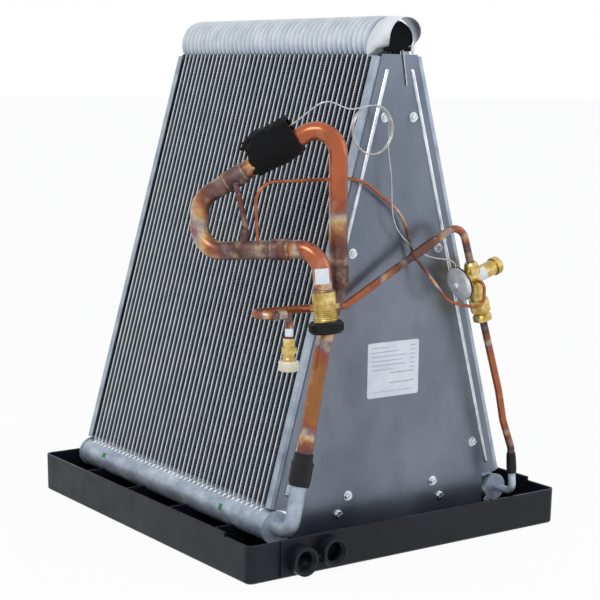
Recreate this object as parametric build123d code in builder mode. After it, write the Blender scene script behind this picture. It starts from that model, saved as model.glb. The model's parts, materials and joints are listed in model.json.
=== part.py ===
# A-coil evaporator: a folded microchannel coil standing in a drain pan, with its suction and
# liquid pipework and expansion valve on the front. Millimetres, +Z up, the front faces -Y.
# Origin: centre of the pan's underside.
import os
from math import atan2, cos, hypot, pi, radians, sin, tan

from build123d import *

os.makedirs("parts", exist_ok=True)

# ---- drain pan ----
pan_width = 488
pan_depth = 518
pan_rim = 50.8
pan_front_rim = 46
pan_wall = 3.2
pan_floor = 3.2
pan_corner = 9
pan_draft = 1
front_rim_reach = 52
island_height = 36
opening_half_width = 146
port_length = 16.5
port_boss_radius = 17.5
port_bore_radius = 13.2
port_membrane = 1.6
panel_back = 4.5
panel_step = 1.6
drain_port_x, drain_port_z = -173.3, 21
overflow_port_x, overflow_port_z = -130.2, 25.4
saddle_thickness = 3
saddle_count = 4

# ---- folded coil ----
tube_count = 42
tube_pitch = 10.2
tube_width = 25.4
tube_thickness = 1.8
core_front = -202
header_x = 176
header_z = 48
suction_header_radius = 19
liquid_header_radius = 16
header_wall = 2
header_overhang = 1.4
cap_thickness = 3
cap_flange = 1.2
fold_x = 21.5
fold_z = 606
arch_radius = 26.5
arch_z = 626
arch_turn = 230
shingle_tilt = 14
fin_recess = 1.5
channel_depth = 10
channel_wall = 1.5
distributor_radius = 4

# ---- end plates ----
plate_thickness = 1.4
plate_top = 609.5
plate_foot = 14
plate_inset = 6.5
bead_width = 4
bead_height = 1.2
label_width, label_height, label_z = 81, 69, 223.5
label_thickness = 0.3
screw_spots = [(22.3, 534), (67.3, 371), (68, 71.5), (81.6, 50.2), (134, 114.2)]

# ---- pipework ----
suction_radius = 11.1
riser_radius = 9.5
pipe_wall = 1.1
liquid_radius = 4.76
equalizer_radius = 2
capillary_radius = 0.9
fitting_radius = 14
suction_cap_radius = 20
liquid_fitting_radius = 8
liquid_cap_radius = 12
riser_standoff = 29.6
bulb_radius = 6.5
txv_lean = 18

# ---- worked out from the sizes above ----
lean = atan2(header_x - fold_x, fold_z - header_z)
leg_length = hypot(header_x - fold_x, fold_z - header_z)
fin_gap = tube_pitch - tube_thickness
core_depth = tube_count * tube_pitch + fin_gap
core_back = core_front + core_depth
first_tube_y = core_front + fin_gap + tube_thickness / 2
tube_ys = [first_tube_y + i * tube_pitch for i in range(tube_count)]
fin_ys = [core_front + fin_gap / 2 + i * tube_pitch for i in range(tube_count + 1)]
plate_back_y = core_front - channel_depth
plate_front_y = plate_back_y - plate_thickness
rear_plate_y = core_back + channel_depth
header_front = plate_front_y + header_overhang
header_back = rear_plate_y - header_overhang
cap_front = header_front - cap_thickness
pan_front = -pan_depth / 2
port_middle_x = (drain_port_x + overflow_port_x) / 2
panel_width = overflow_port_x - drain_port_x + 3 * port_boss_radius
up_the_leg = (-sin(lean), 0, cos(lean))
right_leg = Plane((header_x, 0, header_z), x_dir=(cos(lean), 0, sin(lean)), z_dir=up_the_leg)
front_plane = Plane.XZ.offset(-plate_front_y)
riser_y = plate_front_y - riser_standoff
fin_bottom = max(suction_header_radius, liquid_header_radius) + 4
fin_top = leg_length - 2


def leg_x(z):
    """x of the right leg's mid-plane at height z"""
    return header_x - (z - header_z) * tan(lean)


def toward(start, end, distance):
    """the point at a distance from start on the way to end"""
    start = Vector(*start)
    return start + (Vector(*end) - start).normalized() * distance


def facing(start, end, distance):
    """a plane across the line from start to end, at a distance from start"""
    return Plane(toward(start, end, distance), z_dir=Vector(*end) - Vector(*start))


def pipe(corners, radius, bend=0, bore=0):
    """a round pipe swept through corners that are rounded by the bend radius"""
    with BuildLine() as route:
        if len(corners) == 2:
            Line(*corners)
        else:
            FilletPolyline(*corners, radius=bend)
    with BuildSketch(Plane(route.line @ 0, z_dir=route.line % 0)) as section:
        Circle(radius)
        if bore:
            Circle(bore, mode=Mode.SUBTRACT)
    sweep(section.sketch, path=route.line)


def turn(plane, *steps, mode=Mode.ADD):
    """a turned solid on a plane's z axis, from (distance, radius) steps"""
    half = Plane(plane.origin, x_dir=plane.x_dir, z_dir=-plane.y_dir)
    with BuildSketch(half) as profile:
        with BuildLine():
            rim = [(radius, distance) for distance, radius in steps]
            Polyline((0, steps[0][0]), *rim, (0, steps[-1][0]), close=True)
        make_face()
    revolve(profile.sketch, axis=Axis(plane.origin, plane.z_dir), mode=mode)


def ring(plane, inner, outer, length):
    """a sleeve centred on a plane"""
    with BuildSketch(plane) as section:
        Circle(outer)
        Circle(inner, mode=Mode.SUBTRACT)
    extrude(section.sketch, amount=length / 2, both=True)


def hexagon(plane, across_flats, start, length):
    """a hexagonal band on a plane's z axis"""
    with BuildSketch(plane.offset(start)) as section:
        RegularPolygon(across_flats / 2, 6, major_radius=False)
    extrude(section.sketch, amount=length)


def save(built, name):
    built.part.label = name
    export_step(built.part, f"parts/{name}.step")


# ---- drain pan ----
header_spots = [(-header_x, suction_header_radius), (header_x, liquid_header_radius)]
saddle_ys = [core_front + core_depth * (i + 0.5) / saddle_count for i in range(saddle_count)]
draft_gain = pan_rim * tan(radians(pan_draft))
island_depth = rear_plate_y - plate_back_y
island_y = (rear_plate_y + plate_back_y) / 2
island_half_width = opening_half_width + pan_wall

with BuildPart() as drain_pan:
    with BuildSketch():
        RectangleRounded(pan_width - 2 * draft_gain, pan_depth - 2 * draft_gain, pan_corner)
    extrude(amount=pan_rim, taper=-pan_draft)
    chamfer(drain_pan.faces().sort_by(Axis.Z)[0].edges(), 2)
    with BuildSketch(Plane.XY.offset(island_height)):
        inner_width = pan_width - 2 * pan_wall - 2 * draft_gain * (1 - island_height / pan_rim)
        inner_depth = inner_width + pan_depth - pan_width
        RectangleRounded(inner_width, inner_depth, pan_corner - pan_wall)
    extrude(amount=pan_rim - island_height, taper=-pan_draft, mode=Mode.SUBTRACT)
    with BuildSketch(Plane.XY.offset(pan_floor)):
        floor_width = pan_width - 2 * pan_wall - 2 * draft_gain
        RectangleRounded(floor_width, floor_width + pan_depth - pan_width, pan_corner - pan_wall)
        with Locations((0, island_y)):
            Rectangle(2 * island_half_width, island_depth, mode=Mode.SUBTRACT)
    extrude(amount=island_height - pan_floor, mode=Mode.SUBTRACT)
    # saddles under the headers, between the island and the side walls
    for x, radius in header_spots:
        side = 1 if x > 0 else -1
        trough_width = floor_width / 2 - island_half_width
        with Locations(*[(side * (island_half_width + trough_width / 2), y, pan_floor) for y in saddle_ys]):
            Box(
                trough_width,
                saddle_thickness,
                header_z - radius / 2 - pan_floor,
                align=(Align.CENTER, Align.CENTER, Align.MIN),
            )
        with Locations((x, (header_front + header_back) / 2, header_z)):
            Cylinder(radius, header_back - header_front, rotation=(90, 0, 0), mode=Mode.SUBTRACT)
    # the air opening through the island
    with BuildSketch():
        with Locations((0, island_y)):
            RectangleRounded(2 * opening_half_width, island_depth - 2 * pan_wall, pan_wall)
    extrude(amount=pan_rim, mode=Mode.SUBTRACT)
    # the rim steps down around the front
    with Locations((0, pan_front, pan_front_rim)):
        Box(
            pan_width + pan_wall,
            2 * front_rim_reach,
            pan_rim,
            align=(Align.CENTER, Align.CENTER, Align.MIN),
            mode=Mode.SUBTRACT,
        )
    # the front wall stops at the port panel
    with Locations((port_middle_x, pan_front + panel_back, pan_floor)):
        Box(
            panel_width,
            2 * panel_back + 2 * panel_step,
            pan_rim,
            align=(Align.CENTER, Align.MAX, Align.MIN),
            mode=Mode.SUBTRACT,
        )
save(drain_pan, "drain_pan")

# ---- port panel: a thicker length of the pan's front wall with the two drain ports and the web that ties them ----
port_length_inside = port_length + panel_back
ports = [(drain_port_x, drain_port_z), (overflow_port_x, overflow_port_z)]

with BuildPart() as drain_port_panel:
    with BuildSketch(Plane.XZ.offset(-pan_front - panel_back)):
        with Locations((port_middle_x, (pan_floor + pan_front_rim) / 2)):
            Rectangle(panel_width, pan_front_rim - pan_floor)
    extrude(amount=panel_back + panel_step)
    with BuildSketch(Plane.XZ.offset(-pan_front)):
        for slope in (-30, 30):
            with Locations(Location((port_middle_x, (drain_port_z + overflow_port_z) / 2), slope)):
                Rectangle(overflow_port_x - drain_port_x, 3)
    extrude(amount=port_length * 0.7)
    with BuildSketch(Plane.XZ.offset(-pan_front)):
        with Locations(*ports):
            Circle(port_boss_radius)
    extrude(amount=port_length)
    # the overflow port is closed by a thin wall that is knocked out when it is used
    for spot, reach in zip(ports, (port_length_inside, port_length_inside - port_membrane)):
        with BuildSketch(Plane.XZ.offset(-pan_front + port_length)):
            with Locations(spot):
                Circle(port_bore_radius)
        extrude(amount=-reach, mode=Mode.SUBTRACT)
save(drain_port_panel, "drain_port_panel")


# ---- headers ----
def header(x, radius):
    with BuildSketch(Plane.XZ.offset(-header_front)) as section:
        with Locations((x, header_z)):
            Circle(radius)
            Circle(radius - header_wall, mode=Mode.SUBTRACT)
    extrude(section.sketch, amount=-(header_back - header_front))


with BuildPart() as suction_header:
    header(-header_x, suction_header_radius)
save(suction_header, "suction_header")

with BuildPart() as liquid_header:
    header(header_x, liquid_header_radius)
save(liquid_header, "liquid_header")


def header_caps(x, radius):
    """a flanged cap on each end; the front one has a small tail towards the drain"""
    side = -1 if x > 0 else 1
    with BuildSketch(Plane.XZ.offset(-header_front)) as front_cap:
        with Locations((x, header_z)):
            Circle(radius + cap_flange)
            with Locations(Location((0, 0), -90 + side * 40)):
                with Locations((radius + cap_flange, 0)):
                    Rectangle(12, 7)
    extrude(front_cap.sketch, amount=cap_thickness)
    with BuildSketch(Plane.XZ.offset(-header_back)) as rear_cap:
        with Locations((x, header_z)):
            Circle(radius + cap_flange)
    extrude(rear_cap.sketch, amount=-cap_thickness)


with BuildPart() as suction_header_caps:
    header_caps(-header_x, suction_header_radius)
save(suction_header_caps, "suction_header_caps")

distributor_z = header_z - liquid_header_radius + header_wall + distributor_radius + 1

with BuildPart() as liquid_header_caps:
    header_caps(header_x, liquid_header_radius)
save(liquid_header_caps, "liquid_header_caps")

with BuildPart() as distributor_tube:
    pipe([(header_x, header_front, distributor_z), (header_x, header_back, distributor_z)], distributor_radius)
save(distributor_tube, "distributor_tube")


# ---- flat tubes: each stands edge on in the fins, twists above them and folds over flat ----
twist_steps = 3
arch_steps = 9
arch_centre = Vector(0, 0, arch_z)


def across(angle):
    """the tube's section plane at an angle round the arch, its rear edge tilted outwards"""
    out = Vector(cos(angle), 0, sin(angle))
    tilt = radians(shingle_tilt)
    width = Vector(0, cos(tilt), 0) + out * sin(tilt)
    return Plane(arch_centre + out * arch_radius, x_dir=width, z_dir=(-sin(angle), 0, cos(angle)))


def blend(start, end, share):
    """a plane part of the way from one plane to another"""
    return Plane(
        start.origin * (1 - share) + end.origin * share,
        x_dir=start.x_dir * cos(share * pi / 2) + end.x_dir * sin(share * pi / 2),
        z_dir=start.z_dir * (1 - share) + end.z_dir * share,
    )


def mirrored(plane):
    """the section plane on the other leg"""
    origin, width, along = [Vector(-v.X, v.Y, v.Z) for v in (plane.origin, plane.x_dir, plane.z_dir)]
    return Plane(origin, x_dir=width, z_dir=-along)


def section_corners(plane):
    spots = [(-1, -1), (1, -1), (1, 1), (-1, 1)]
    return [plane.from_local_coords((i * tube_width / 2, j * tube_thickness / 2, 0)) for i, j in spots]


def skin(planes):
    """a closed solid of flat facets through the tube's section on each plane"""
    rings = [section_corners(plane) for plane in planes]
    facets = [Face(Wire.make_polygon(rings[0])), Face(Wire.make_polygon(rings[-1][::-1]))]
    for low, high in zip(rings, rings[1:]):
        for i, j, order in ((0, 1, -1), (1, 2, -1), (3, 2, 1), (0, 3, 1)):
            facets.append(Face(Wire.make_polygon([low[i], low[j], high[j]][::order])))
            facets.append(Face(Wire.make_polygon([low[i], high[j], high[i]][::order])))
    return Solid(Shell(facets))


arch_start = -radians(arch_turn - 180) / 2
arch_angles = [arch_start + radians(arch_turn) * i / arch_steps for i in range(arch_steps + 1)]
twist_start = right_leg.offset(leg_length)
rising = [right_leg] + [blend(twist_start, across(arch_start), i / twist_steps) for i in range(twist_steps)]
folded = rising + [across(angle) for angle in arch_angles] + [mirrored(plane) for plane in rising[::-1]]

with BuildPart() as flat_tube:
    add(skin(folded))
    # the feet are brazed to the round headers
    for x, radius in header_spots:
        with Locations((x, 0, header_z)):
            Cylinder(radius, tube_width, rotation=(90, 0, 0), mode=Mode.SUBTRACT)

flat_tubes = Compound([flat_tube.part.solid().moved(Location((0, y, 0))) for y in tube_ys])
flat_tubes.label = "flat_tubes"
export_step(flat_tubes, "parts/flat_tubes.step")

# ---- fins ----
with BuildPart() as fin_pack_right:
    with BuildSketch(right_leg.offset(fin_bottom)):
        with Locations(*[(0, y) for y in fin_ys]):
            Rectangle(tube_width - 2 * fin_recess, fin_gap)
    extrude(amount=fin_top - fin_bottom)
save(fin_pack_right, "fin_pack_right")

with BuildPart() as fin_pack_left:
    mirror(fin_pack_right.part, about=Plane.YZ)
save(fin_pack_left, "fin_pack_left")

# ---- side channels, open towards the fins ----
for end, outer_y, inner_y in (("front", plate_back_y, core_front), ("rear", rear_plate_y, core_back)):
    inward = 1 if inner_y > outer_y else -1
    with BuildPart() as side_channel:
        with BuildSketch(right_leg.offset(suction_header_radius + 1.5)):
            with Locations((0, (outer_y + inner_y) / 2)):
                Rectangle(tube_width, channel_depth)
            with Locations((0, (outer_y + inner_y) / 2 + inward * channel_wall)):
                Rectangle(tube_width - 2 * channel_wall, channel_depth, mode=Mode.SUBTRACT)
        extrude(amount=fin_top - suction_header_radius - 1.5)
    save(side_channel, f"{end}_right_channel")
    with BuildPart() as mirrored_channel:
        mirror(side_channel.part, about=Plane.YZ)
    save(mirrored_channel, f"{end}_left_channel")

# ---- end plates ----
shoulder_z = header_z + suction_header_radius + cap_flange + 1
foot_half_width = header_x - suction_header_radius - cap_flange - 2


def edge_x(z):
    """half the plate's width at height z"""
    return leg_x(z) + plate_inset / cos(lean)


plate_outline = [
    (-foot_half_width, plate_foot),
    (foot_half_width, plate_foot),
    (foot_half_width, shoulder_z),
    (edge_x(shoulder_z), shoulder_z),
    (edge_x(plate_top), plate_top),
    (-edge_x(plate_top), plate_top),
    (-edge_x(shoulder_z), shoulder_z),
    (-foot_half_width, shoulder_z),
]
bead_ends = [(edge_x(590) - 13, 590), (edge_x(86) - 13, 86)]
screw_hole = 2.1
all_screws = screw_spots + [(-x, z) for x, z in screw_spots]


def delta_plate(front, beads):
    """a triangular plate, its outer face on the front plane, with a raised bead along each edge"""
    with BuildSketch(front) as blank:
        with BuildLine():
            Polyline(*plate_outline, close=True)
        make_face()
        with Locations(*all_screws):
            Circle(screw_hole, mode=Mode.SUBTRACT)
    extrude(blank.sketch, amount=-plate_thickness)
    with BuildSketch(front) as ridges:
        (x1, z1), (x2, z2) = beads
        for side in (-1, 1):
            slope = atan2(z1 - z2, side * (x1 - x2)) * 180 / pi
            with Locations(Location((side * (x1 + x2) / 2, (z1 + z2) / 2), slope)):
                SlotCenterToCenter(hypot(x1 - x2, z1 - z2), bead_width)
    extrude(ridges.sketch, amount=bead_height)


def screws(front, spots):
    """hexagonal washer head screws with a slot, standing on the front plane"""
    for x, z in spots:
        head = Plane(front.from_local_coords((x, z, 0)), x_dir=front.x_dir, z_dir=front.z_dir)
        turn(head, (-plate_thickness - 6, screw_hole), (0, screw_hole), (0, 6.2), (1, 6.2))
        hexagon(head, 8, 1, 3.4)
        with BuildSketch(head.offset(4.4)) as slot:
            Rectangle(8, 1.2, rotation=30)
        extrude(slot.sketch, amount=-1.4, mode=Mode.SUBTRACT)


rear_plane = Plane((0, rear_plate_y + plate_thickness, 0), x_dir=(-1, 0, 0), z_dir=(0, 1, 0))

with BuildPart() as front_delta_plate:
    delta_plate(front_plane, bead_ends)
save(front_delta_plate, "front_delta_plate")

with BuildPart() as rear_delta_plate:
    delta_plate(rear_plane, bead_ends)
save(rear_delta_plate, "rear_delta_plate")

with BuildPart() as front_plate_screws:
    screws(front_plane, all_screws)
save(front_plate_screws, "front_plate_screws")

with BuildPart() as rear_plate_screws:
    screws(rear_plane, all_screws)
save(rear_plate_screws, "rear_plate_screws")

with BuildPart() as rating_label:
    with BuildSketch(front_plane):
        with Locations((0, label_z)):
            RectangleRounded(label_width, label_height, 3)
    extrude(amount=label_thickness)
save(rating_label, "rating_label")

# ---- apex: an edge strip over each end of the fold, and foam that stops air slipping past ----
strip_width = 28
strip_thickness = 1.2
strip_gap = 0.3
foam_setback = 3
foam_depth = 3.6
foam_clearance = 0.4
foam_neck = 7
foam_foot = plate_top - 12
foam_bottom = 613
tilt = radians(shingle_tilt)
strip_step = ((tube_thickness + strip_thickness) / 2 + strip_gap) / sin(tilt)
strip_y = first_tube_y - strip_step
strip_foot = across(arch_start)

with BuildPart() as front_fold_strip:
    strip_foot.origin += Vector(0, strip_y, 0)
    with BuildSketch(strip_foot):
        Rectangle(strip_width, strip_thickness)
    revolve(axis=Axis(arch_centre, (0, -1, 0)), revolution_arc=arch_turn)
save(front_fold_strip, "front_fold_strip")


def apex_foam(foam_y, radius):
    """a plug that fills the fold above the plate, with a neck down between the slabs"""
    with BuildSketch(Plane.XZ.offset(-foam_y)) as plug:
        with Locations((0, arch_z)):
            Circle(radius)
        with Locations((0, foam_bottom)):
            Rectangle(3 * arch_radius, 3 * arch_radius, align=(Align.CENTER, Align.MAX), mode=Mode.SUBTRACT)
        with Locations((0, foam_foot)):
            Rectangle(2 * foam_neck, arch_z - foam_foot, align=(Align.CENTER, Align.MIN))
    extrude(plug.sketch, amount=-foam_depth)


front_foam_y = plate_back_y + foam_setback
under_strip = arch_radius + (front_foam_y - strip_y) * tan(tilt) - strip_thickness / 2 / cos(tilt)
with BuildPart() as front_apex_foam:
    apex_foam(front_foam_y, under_strip - foam_clearance)
save(front_apex_foam, "front_apex_foam")

with BuildPart() as rear_apex_foam:
    apex_foam(tube_ys[-1] + tube_width / 2 * cos(tilt) + foam_clearance, arch_radius)
save(rear_apex_foam, "rear_apex_foam")

# ---- suction pipework: header elbow, sleeve, riser, bulb pipe, loop, fitting ----
riser_foot = (-header_x + 2, riser_y, header_z)
riser_knee = (-131, riser_y, 268)
riser_shoulder = (-110, riser_y, 331)
riser_top = (-114, riser_y, 540)
loop_start = (-233, -132, 436)
loop_low = (-234, -134, 375)
fitting_top = (-147, -264, 336)
fitting_axis = (0.064, -0.074, -1)
fitting_plane = Plane(fitting_top, z_dir=fitting_axis)
loop_end = fitting_plane.from_local_coords((0, 0, -50))
suction_bend = 30
bulb_bend = 26
loop_bend = 28
suction_bore = suction_radius - pipe_wall
riser_bore = riser_radius - pipe_wall
joint_height = 345

riser_joint = toward(riser_foot, riser_knee, 77)
upper_joint = Vector(riser_top[0] + 4 * (riser_top[2] - joint_height) / (riser_top[2] - 331), riser_y, joint_height)
loop_joint = toward(riser_top, loop_start, 143)
elbow_joint = toward(loop_low, loop_end, 104)
socket_depth = 12

with BuildPart() as suction_header_elbow:
    start = (riser_foot[0], cap_front, header_z)
    pipe([start, riser_foot, tuple(riser_joint)], riser_radius, 18, riser_bore)
save(suction_header_elbow, "suction_header_elbow")

with BuildPart() as suction_riser:
    corners = [tuple(riser_joint), riser_knee, riser_shoulder, tuple(upper_joint)]
    pipe(corners, riser_radius, suction_bend, riser_bore)
save(suction_riser, "suction_riser")

with BuildPart() as suction_sleeve:
    sleeve = facing(riser_foot, riser_knee, 77)
    turn(sleeve, (-20, 12.4), (-12, 13.2), (4, 13.2), (7, 13.8), (10, 11.6), (19, 10.9))
    with BuildSketch(sleeve):
        Circle(riser_radius)
    extrude(amount=40, both=True, mode=Mode.SUBTRACT)
save(suction_sleeve, "suction_sleeve")

with BuildPart() as bulb_pipe:
    corners = [tuple(upper_joint), riser_top, tuple(loop_joint)]
    pipe(corners, suction_radius, bulb_bend, suction_bore)
save(bulb_pipe, "bulb_pipe")

with BuildPart() as suction_loop:
    corners = [tuple(loop_joint), loop_start, loop_low, tuple(elbow_joint)]
    pipe(corners, suction_radius, loop_bend, suction_bore)
save(suction_loop, "suction_loop")

with BuildPart() as suction_elbow:
    end = fitting_plane.from_local_coords((0, 0, socket_depth))
    pipe([elbow_joint, loop_end, end], suction_radius, loop_bend, suction_bore)
save(suction_elbow, "suction_elbow")

# brazed couplings where the pipes meet end to end
suction_socket = suction_radius + 1.3
with BuildPart() as suction_couplings:
    ring(facing(riser_top, loop_start, 143), suction_radius, suction_socket, 22)
    ring(facing(loop_low, loop_end, 104), suction_radius, suction_socket, 18)
save(suction_couplings, "suction_couplings")

with BuildPart() as riser_reducer:
    below = Plane(upper_joint, z_dir=upper_joint - Vector(*riser_shoulder))
    above = Plane(upper_joint, z_dir=Vector(*riser_top) - upper_joint)
    ring(below.offset(-4), riser_radius, suction_socket, 8)
    ring(above.offset(8), suction_radius, suction_socket, 16)
save(riser_reducer, "riser_reducer")

thread_radius = fitting_radius - 0.6
with BuildPart() as suction_fitting:
    turn(fitting_plane, (0, fitting_radius), (14, fitting_radius), (14, thread_radius), (36, thread_radius))
    hexagon(fitting_plane, 2 * fitting_radius + 2, 14, 6)
    with BuildSketch(fitting_plane):
        Circle(suction_radius)
    extrude(amount=socket_depth, mode=Mode.SUBTRACT)
    with BuildSketch(fitting_plane):
        Circle(suction_bore)
    extrude(amount=30, mode=Mode.SUBTRACT)
save(suction_fitting, "suction_fitting")

with BuildPart() as suction_cap:
    turn(fitting_plane, (34, 17.5), (36, suction_cap_radius), (46, suction_cap_radius), (48, 17.5))
    with BuildSketch(fitting_plane.offset(30)):
        Circle(thread_radius)
    extrude(amount=6, mode=Mode.SUBTRACT)
save(suction_cap, "suction_cap")

# ---- sensing bulb in its insulation on the bulb pipe ----
bulb_plane = facing(riser_top, loop_start, 54)
bulb_length = 50
wrap_length = 62
bulb_offset = suction_radius + bulb_radius
up_side = (Vector(0, 0, 1) - bulb_plane.z_dir * bulb_plane.z_dir.Z).normalized()
bulb_frame = Plane(bulb_plane.origin, x_dir=up_side, z_dir=bulb_plane.z_dir)

with BuildPart() as sensing_bulb:
    with BuildSketch(bulb_frame.offset(6)):
        with Locations((bulb_offset, 0)):
            Circle(bulb_radius)
    extrude(amount=bulb_length)
    fillet(sensing_bulb.edges().filter_by(GeomType.CIRCLE), 2)
save(sensing_bulb, "sensing_bulb")

with BuildPart() as bulb_insulation:
    with BuildSketch(bulb_frame):
        with Locations((bulb_offset / 2 - 1, 0)):
            SlotOverall(48, 36)
        Circle(suction_radius, mode=Mode.SUBTRACT)
        with Locations((bulb_offset, 0)):
            Circle(bulb_radius, mode=Mode.SUBTRACT)
        with Locations((bulb_offset / 2, 0)):
            Rectangle(bulb_offset, bulb_radius, mode=Mode.SUBTRACT)
    extrude(amount=wrap_length)
save(bulb_insulation, "bulb_insulation")

# ---- liquid pipework: fitting, hairpin, back run, valve inlet and outlet ----
liquid_y = plate_front_y - 13
hairpin_x = -222
hairpin_depth = 28
liquid_front_y = liquid_y - hairpin_depth
liquid_fitting_x = -188
liquid_run_z = 312
liquid_fitting_top = (liquid_fitting_x, liquid_front_y, 284)
valve_centre = (99, plate_front_y - 33, 336)
valve_lean = radians(txv_lean)
flow_line = (-sin(valve_lean), 0, cos(valve_lean))
valve = Plane(valve_centre, x_dir=(cos(valve_lean), 0, sin(valve_lean)), z_dir=flow_line)
barrel = Plane(valve_centre, x_dir=valve.z_dir, z_dir=valve.x_dir)
valve_port = valve.from_local_coords((-4, 0, -3))
valve_inlet = valve.from_local_coords((0, 0, 17))
valve_outlet = valve.from_local_coords((0, 0, -60))
inlet_corner = valve.from_local_coords((0, 0, 74))
back_corner = (-86, liquid_y, liquid_run_z - 1)
liquid_joint = toward(back_corner, inlet_corner, 111)
hairpin_joint = (-200, liquid_front_y, liquid_run_z)
hairpin_corner = (hairpin_x, liquid_front_y, liquid_run_z)
liquid_bore = liquid_radius - 0.8
liquid_socket = liquid_radius + 1.2

with BuildPart() as liquid_elbow:
    corner = (liquid_fitting_x, liquid_front_y, liquid_run_z)
    end = (liquid_fitting_x, liquid_front_y, liquid_fitting_top[2] - 8)
    pipe([hairpin_joint, corner, end], liquid_radius, 9, liquid_bore)
save(liquid_elbow, "liquid_elbow")

with BuildPart() as liquid_line:
    corners = [
        hairpin_joint,
        hairpin_corner,
        (hairpin_x, liquid_y, liquid_run_z),
        back_corner,
        liquid_joint,
    ]
    pipe(corners, liquid_radius, 13, liquid_bore)
save(liquid_line, "liquid_line")

with BuildPart() as valve_inlet_pipe:
    pipe([liquid_joint, tuple(inlet_corner), tuple(valve_inlet)], liquid_radius, 18, liquid_bore)
save(valve_inlet_pipe, "valve_inlet_pipe")

with BuildPart() as liquid_couplings:
    ring(facing(liquid_joint, inlet_corner, 0), liquid_radius, liquid_socket, 6)
    ring(facing(liquid_joint, inlet_corner, 18), liquid_radius, liquid_socket, 30)
    ring(facing(hairpin_joint, hairpin_corner, 0), liquid_radius, liquid_socket, 11)
save(liquid_couplings, "liquid_couplings")

liquid_fitting_plane = Plane(liquid_fitting_top, z_dir=(0, 0, -1))
with BuildPart() as liquid_fitting:
    turn(liquid_fitting_plane, (0, liquid_fitting_radius - 1), (28, liquid_fitting_radius - 1))
    hexagon(liquid_fitting_plane, 2 * liquid_fitting_radius + 1, 10, 7)
    with BuildSketch(liquid_fitting_plane):
        Circle(liquid_radius)
    extrude(amount=8, mode=Mode.SUBTRACT)
save(liquid_fitting, "liquid_fitting")

with BuildPart() as liquid_cap:
    turn(liquid_fitting_plane, (26, liquid_cap_radius - 1), (28, liquid_cap_radius), (38, liquid_cap_radius - 2))
    with BuildSketch(liquid_fitting_plane.offset(20)):
        Circle(liquid_fitting_radius - 1)
    extrude(amount=8, mode=Mode.SUBTRACT)
save(liquid_cap, "liquid_cap")

# ---- thermostatic expansion valve ----
with BuildPart() as valve_body:
    turn(valve, (-30, 10), (-10, 9.5), (8, 10), (13, 10), (13, 8.6), (17, 8.6), (20, 6.6), (20, liquid_radius + 1))
    turn(barrel, (-20, 13), (-16, 13), (-8, 10), (34, 9.6))
    side_port = Plane(valve_port, z_dir=(0, -1, 0))
    turn(side_port, (0, 4.6), (12.5, 4.2))
    turn(side_port, (8, equalizer_radius), (13, equalizer_radius), mode=Mode.SUBTRACT)
    with BuildSketch(valve.offset(17)):
        Circle(liquid_radius)
    extrude(amount=4, mode=Mode.SUBTRACT)
save(valve_body, "valve_body")

with BuildPart() as valve_stem_cap:
    turn(barrel, (34, 11.4), (41, 11.4), (43, 10))
save(valve_stem_cap, "valve_stem_cap")

with BuildPart() as valve_outlet_nuts:
    hexagon(valve, 23, -46, 16)
    turn(valve, (-46, 12), (-50, 9.6), (-53, 12), (-58, 12), (-60, 8))
    with BuildSketch(valve.offset(-60)):
        Circle(liquid_radius)
    extrude(amount=10, mode=Mode.SUBTRACT)
save(valve_outlet_nuts, "valve_outlet_nuts")

with BuildPart() as power_head:
    turn(barrel, (-20, 13), (-21, 17), (-23, 21.5), (-25, 21.5), (-27, 18), (-29.5, 8), (-30, 4), (-33, 3.4))
save(power_head, "power_head")

# the valve's outlet falls to the liquid header
outlet_knee = (172.5, valve_centre[1], 108)
outlet_foot = (header_x + 2, valve_centre[1], header_z)
outlet_joint = toward(outlet_knee, outlet_foot, 20)
with BuildPart() as valve_outlet_pipe:
    seat = valve.from_local_coords((0, 0, -50))
    lower = valve.from_local_coords((0, 0, -158))
    corners = [seat, lower, (157, valve_centre[1], 146), outlet_knee, outlet_joint]
    pipe(corners, liquid_radius, 14, liquid_bore)
save(valve_outlet_pipe, "valve_outlet_pipe")

with BuildPart() as liquid_header_elbow:
    end = (header_x + 2, cap_front, header_z)
    pipe([outlet_joint, outlet_foot, end], liquid_radius, 12, liquid_bore)
save(liquid_header_elbow, "liquid_header_elbow")

with BuildPart() as outlet_sleeve:
    sleeve = facing(outlet_joint, outlet_foot, 0)
    turn(sleeve, (-13, 5.6), (-8, 6.2), (8, 6.6), (14, 6))
    with BuildSketch(sleeve):
        Circle(liquid_radius)
    extrude(amount=30, both=True, mode=Mode.SUBTRACT)
save(outlet_sleeve, "outlet_sleeve")

# ---- process stub, equalizer and bulb capillary ----
stub_foot = toward(loop_low, loop_end, 56)
with BuildPart() as process_stub:
    pipe([tuple(stub_foot), (-199, -180, 403)], 5.2)
    pipe([(-199, -180, 403), (-205, -181, 425), (-216, -183, 458)], 3.2, 20)
    with BuildSketch(facing(loop_low, loop_end, 30)):
        Circle(suction_radius)
    extrude(amount=50, mode=Mode.SUBTRACT)
save(process_stub, "process_stub")

equalizer_foot = toward(loop_low, loop_end, 75)
equalizer_y = plate_front_y - 8
with BuildPart() as equalizer_tube:
    corners = [
        tuple(equalizer_foot),
        (-203, -203, 460),
        (-62, equalizer_y, 462),
        (3, equalizer_y, 416),
        (20, equalizer_y - 1, 366),
        (56, valve_centre[1] - 4, 308),
        (valve_port.X, valve_centre[1] - 24, 298),
        (valve_port.X, valve_centre[1] - 24, valve_port.Z),
        (valve_port.X, valve_centre[1] - 8, valve_port.Z),
    ]
    pipe(corners, equalizer_radius, [24, 60, 60, 40, 24, 12, 9])
    with BuildSketch(facing(loop_low, loop_end, 50)):
        Circle(suction_radius)
    extrude(amount=50, mode=Mode.SUBTRACT)
save(equalizer_tube, "equalizer_tube")

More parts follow.
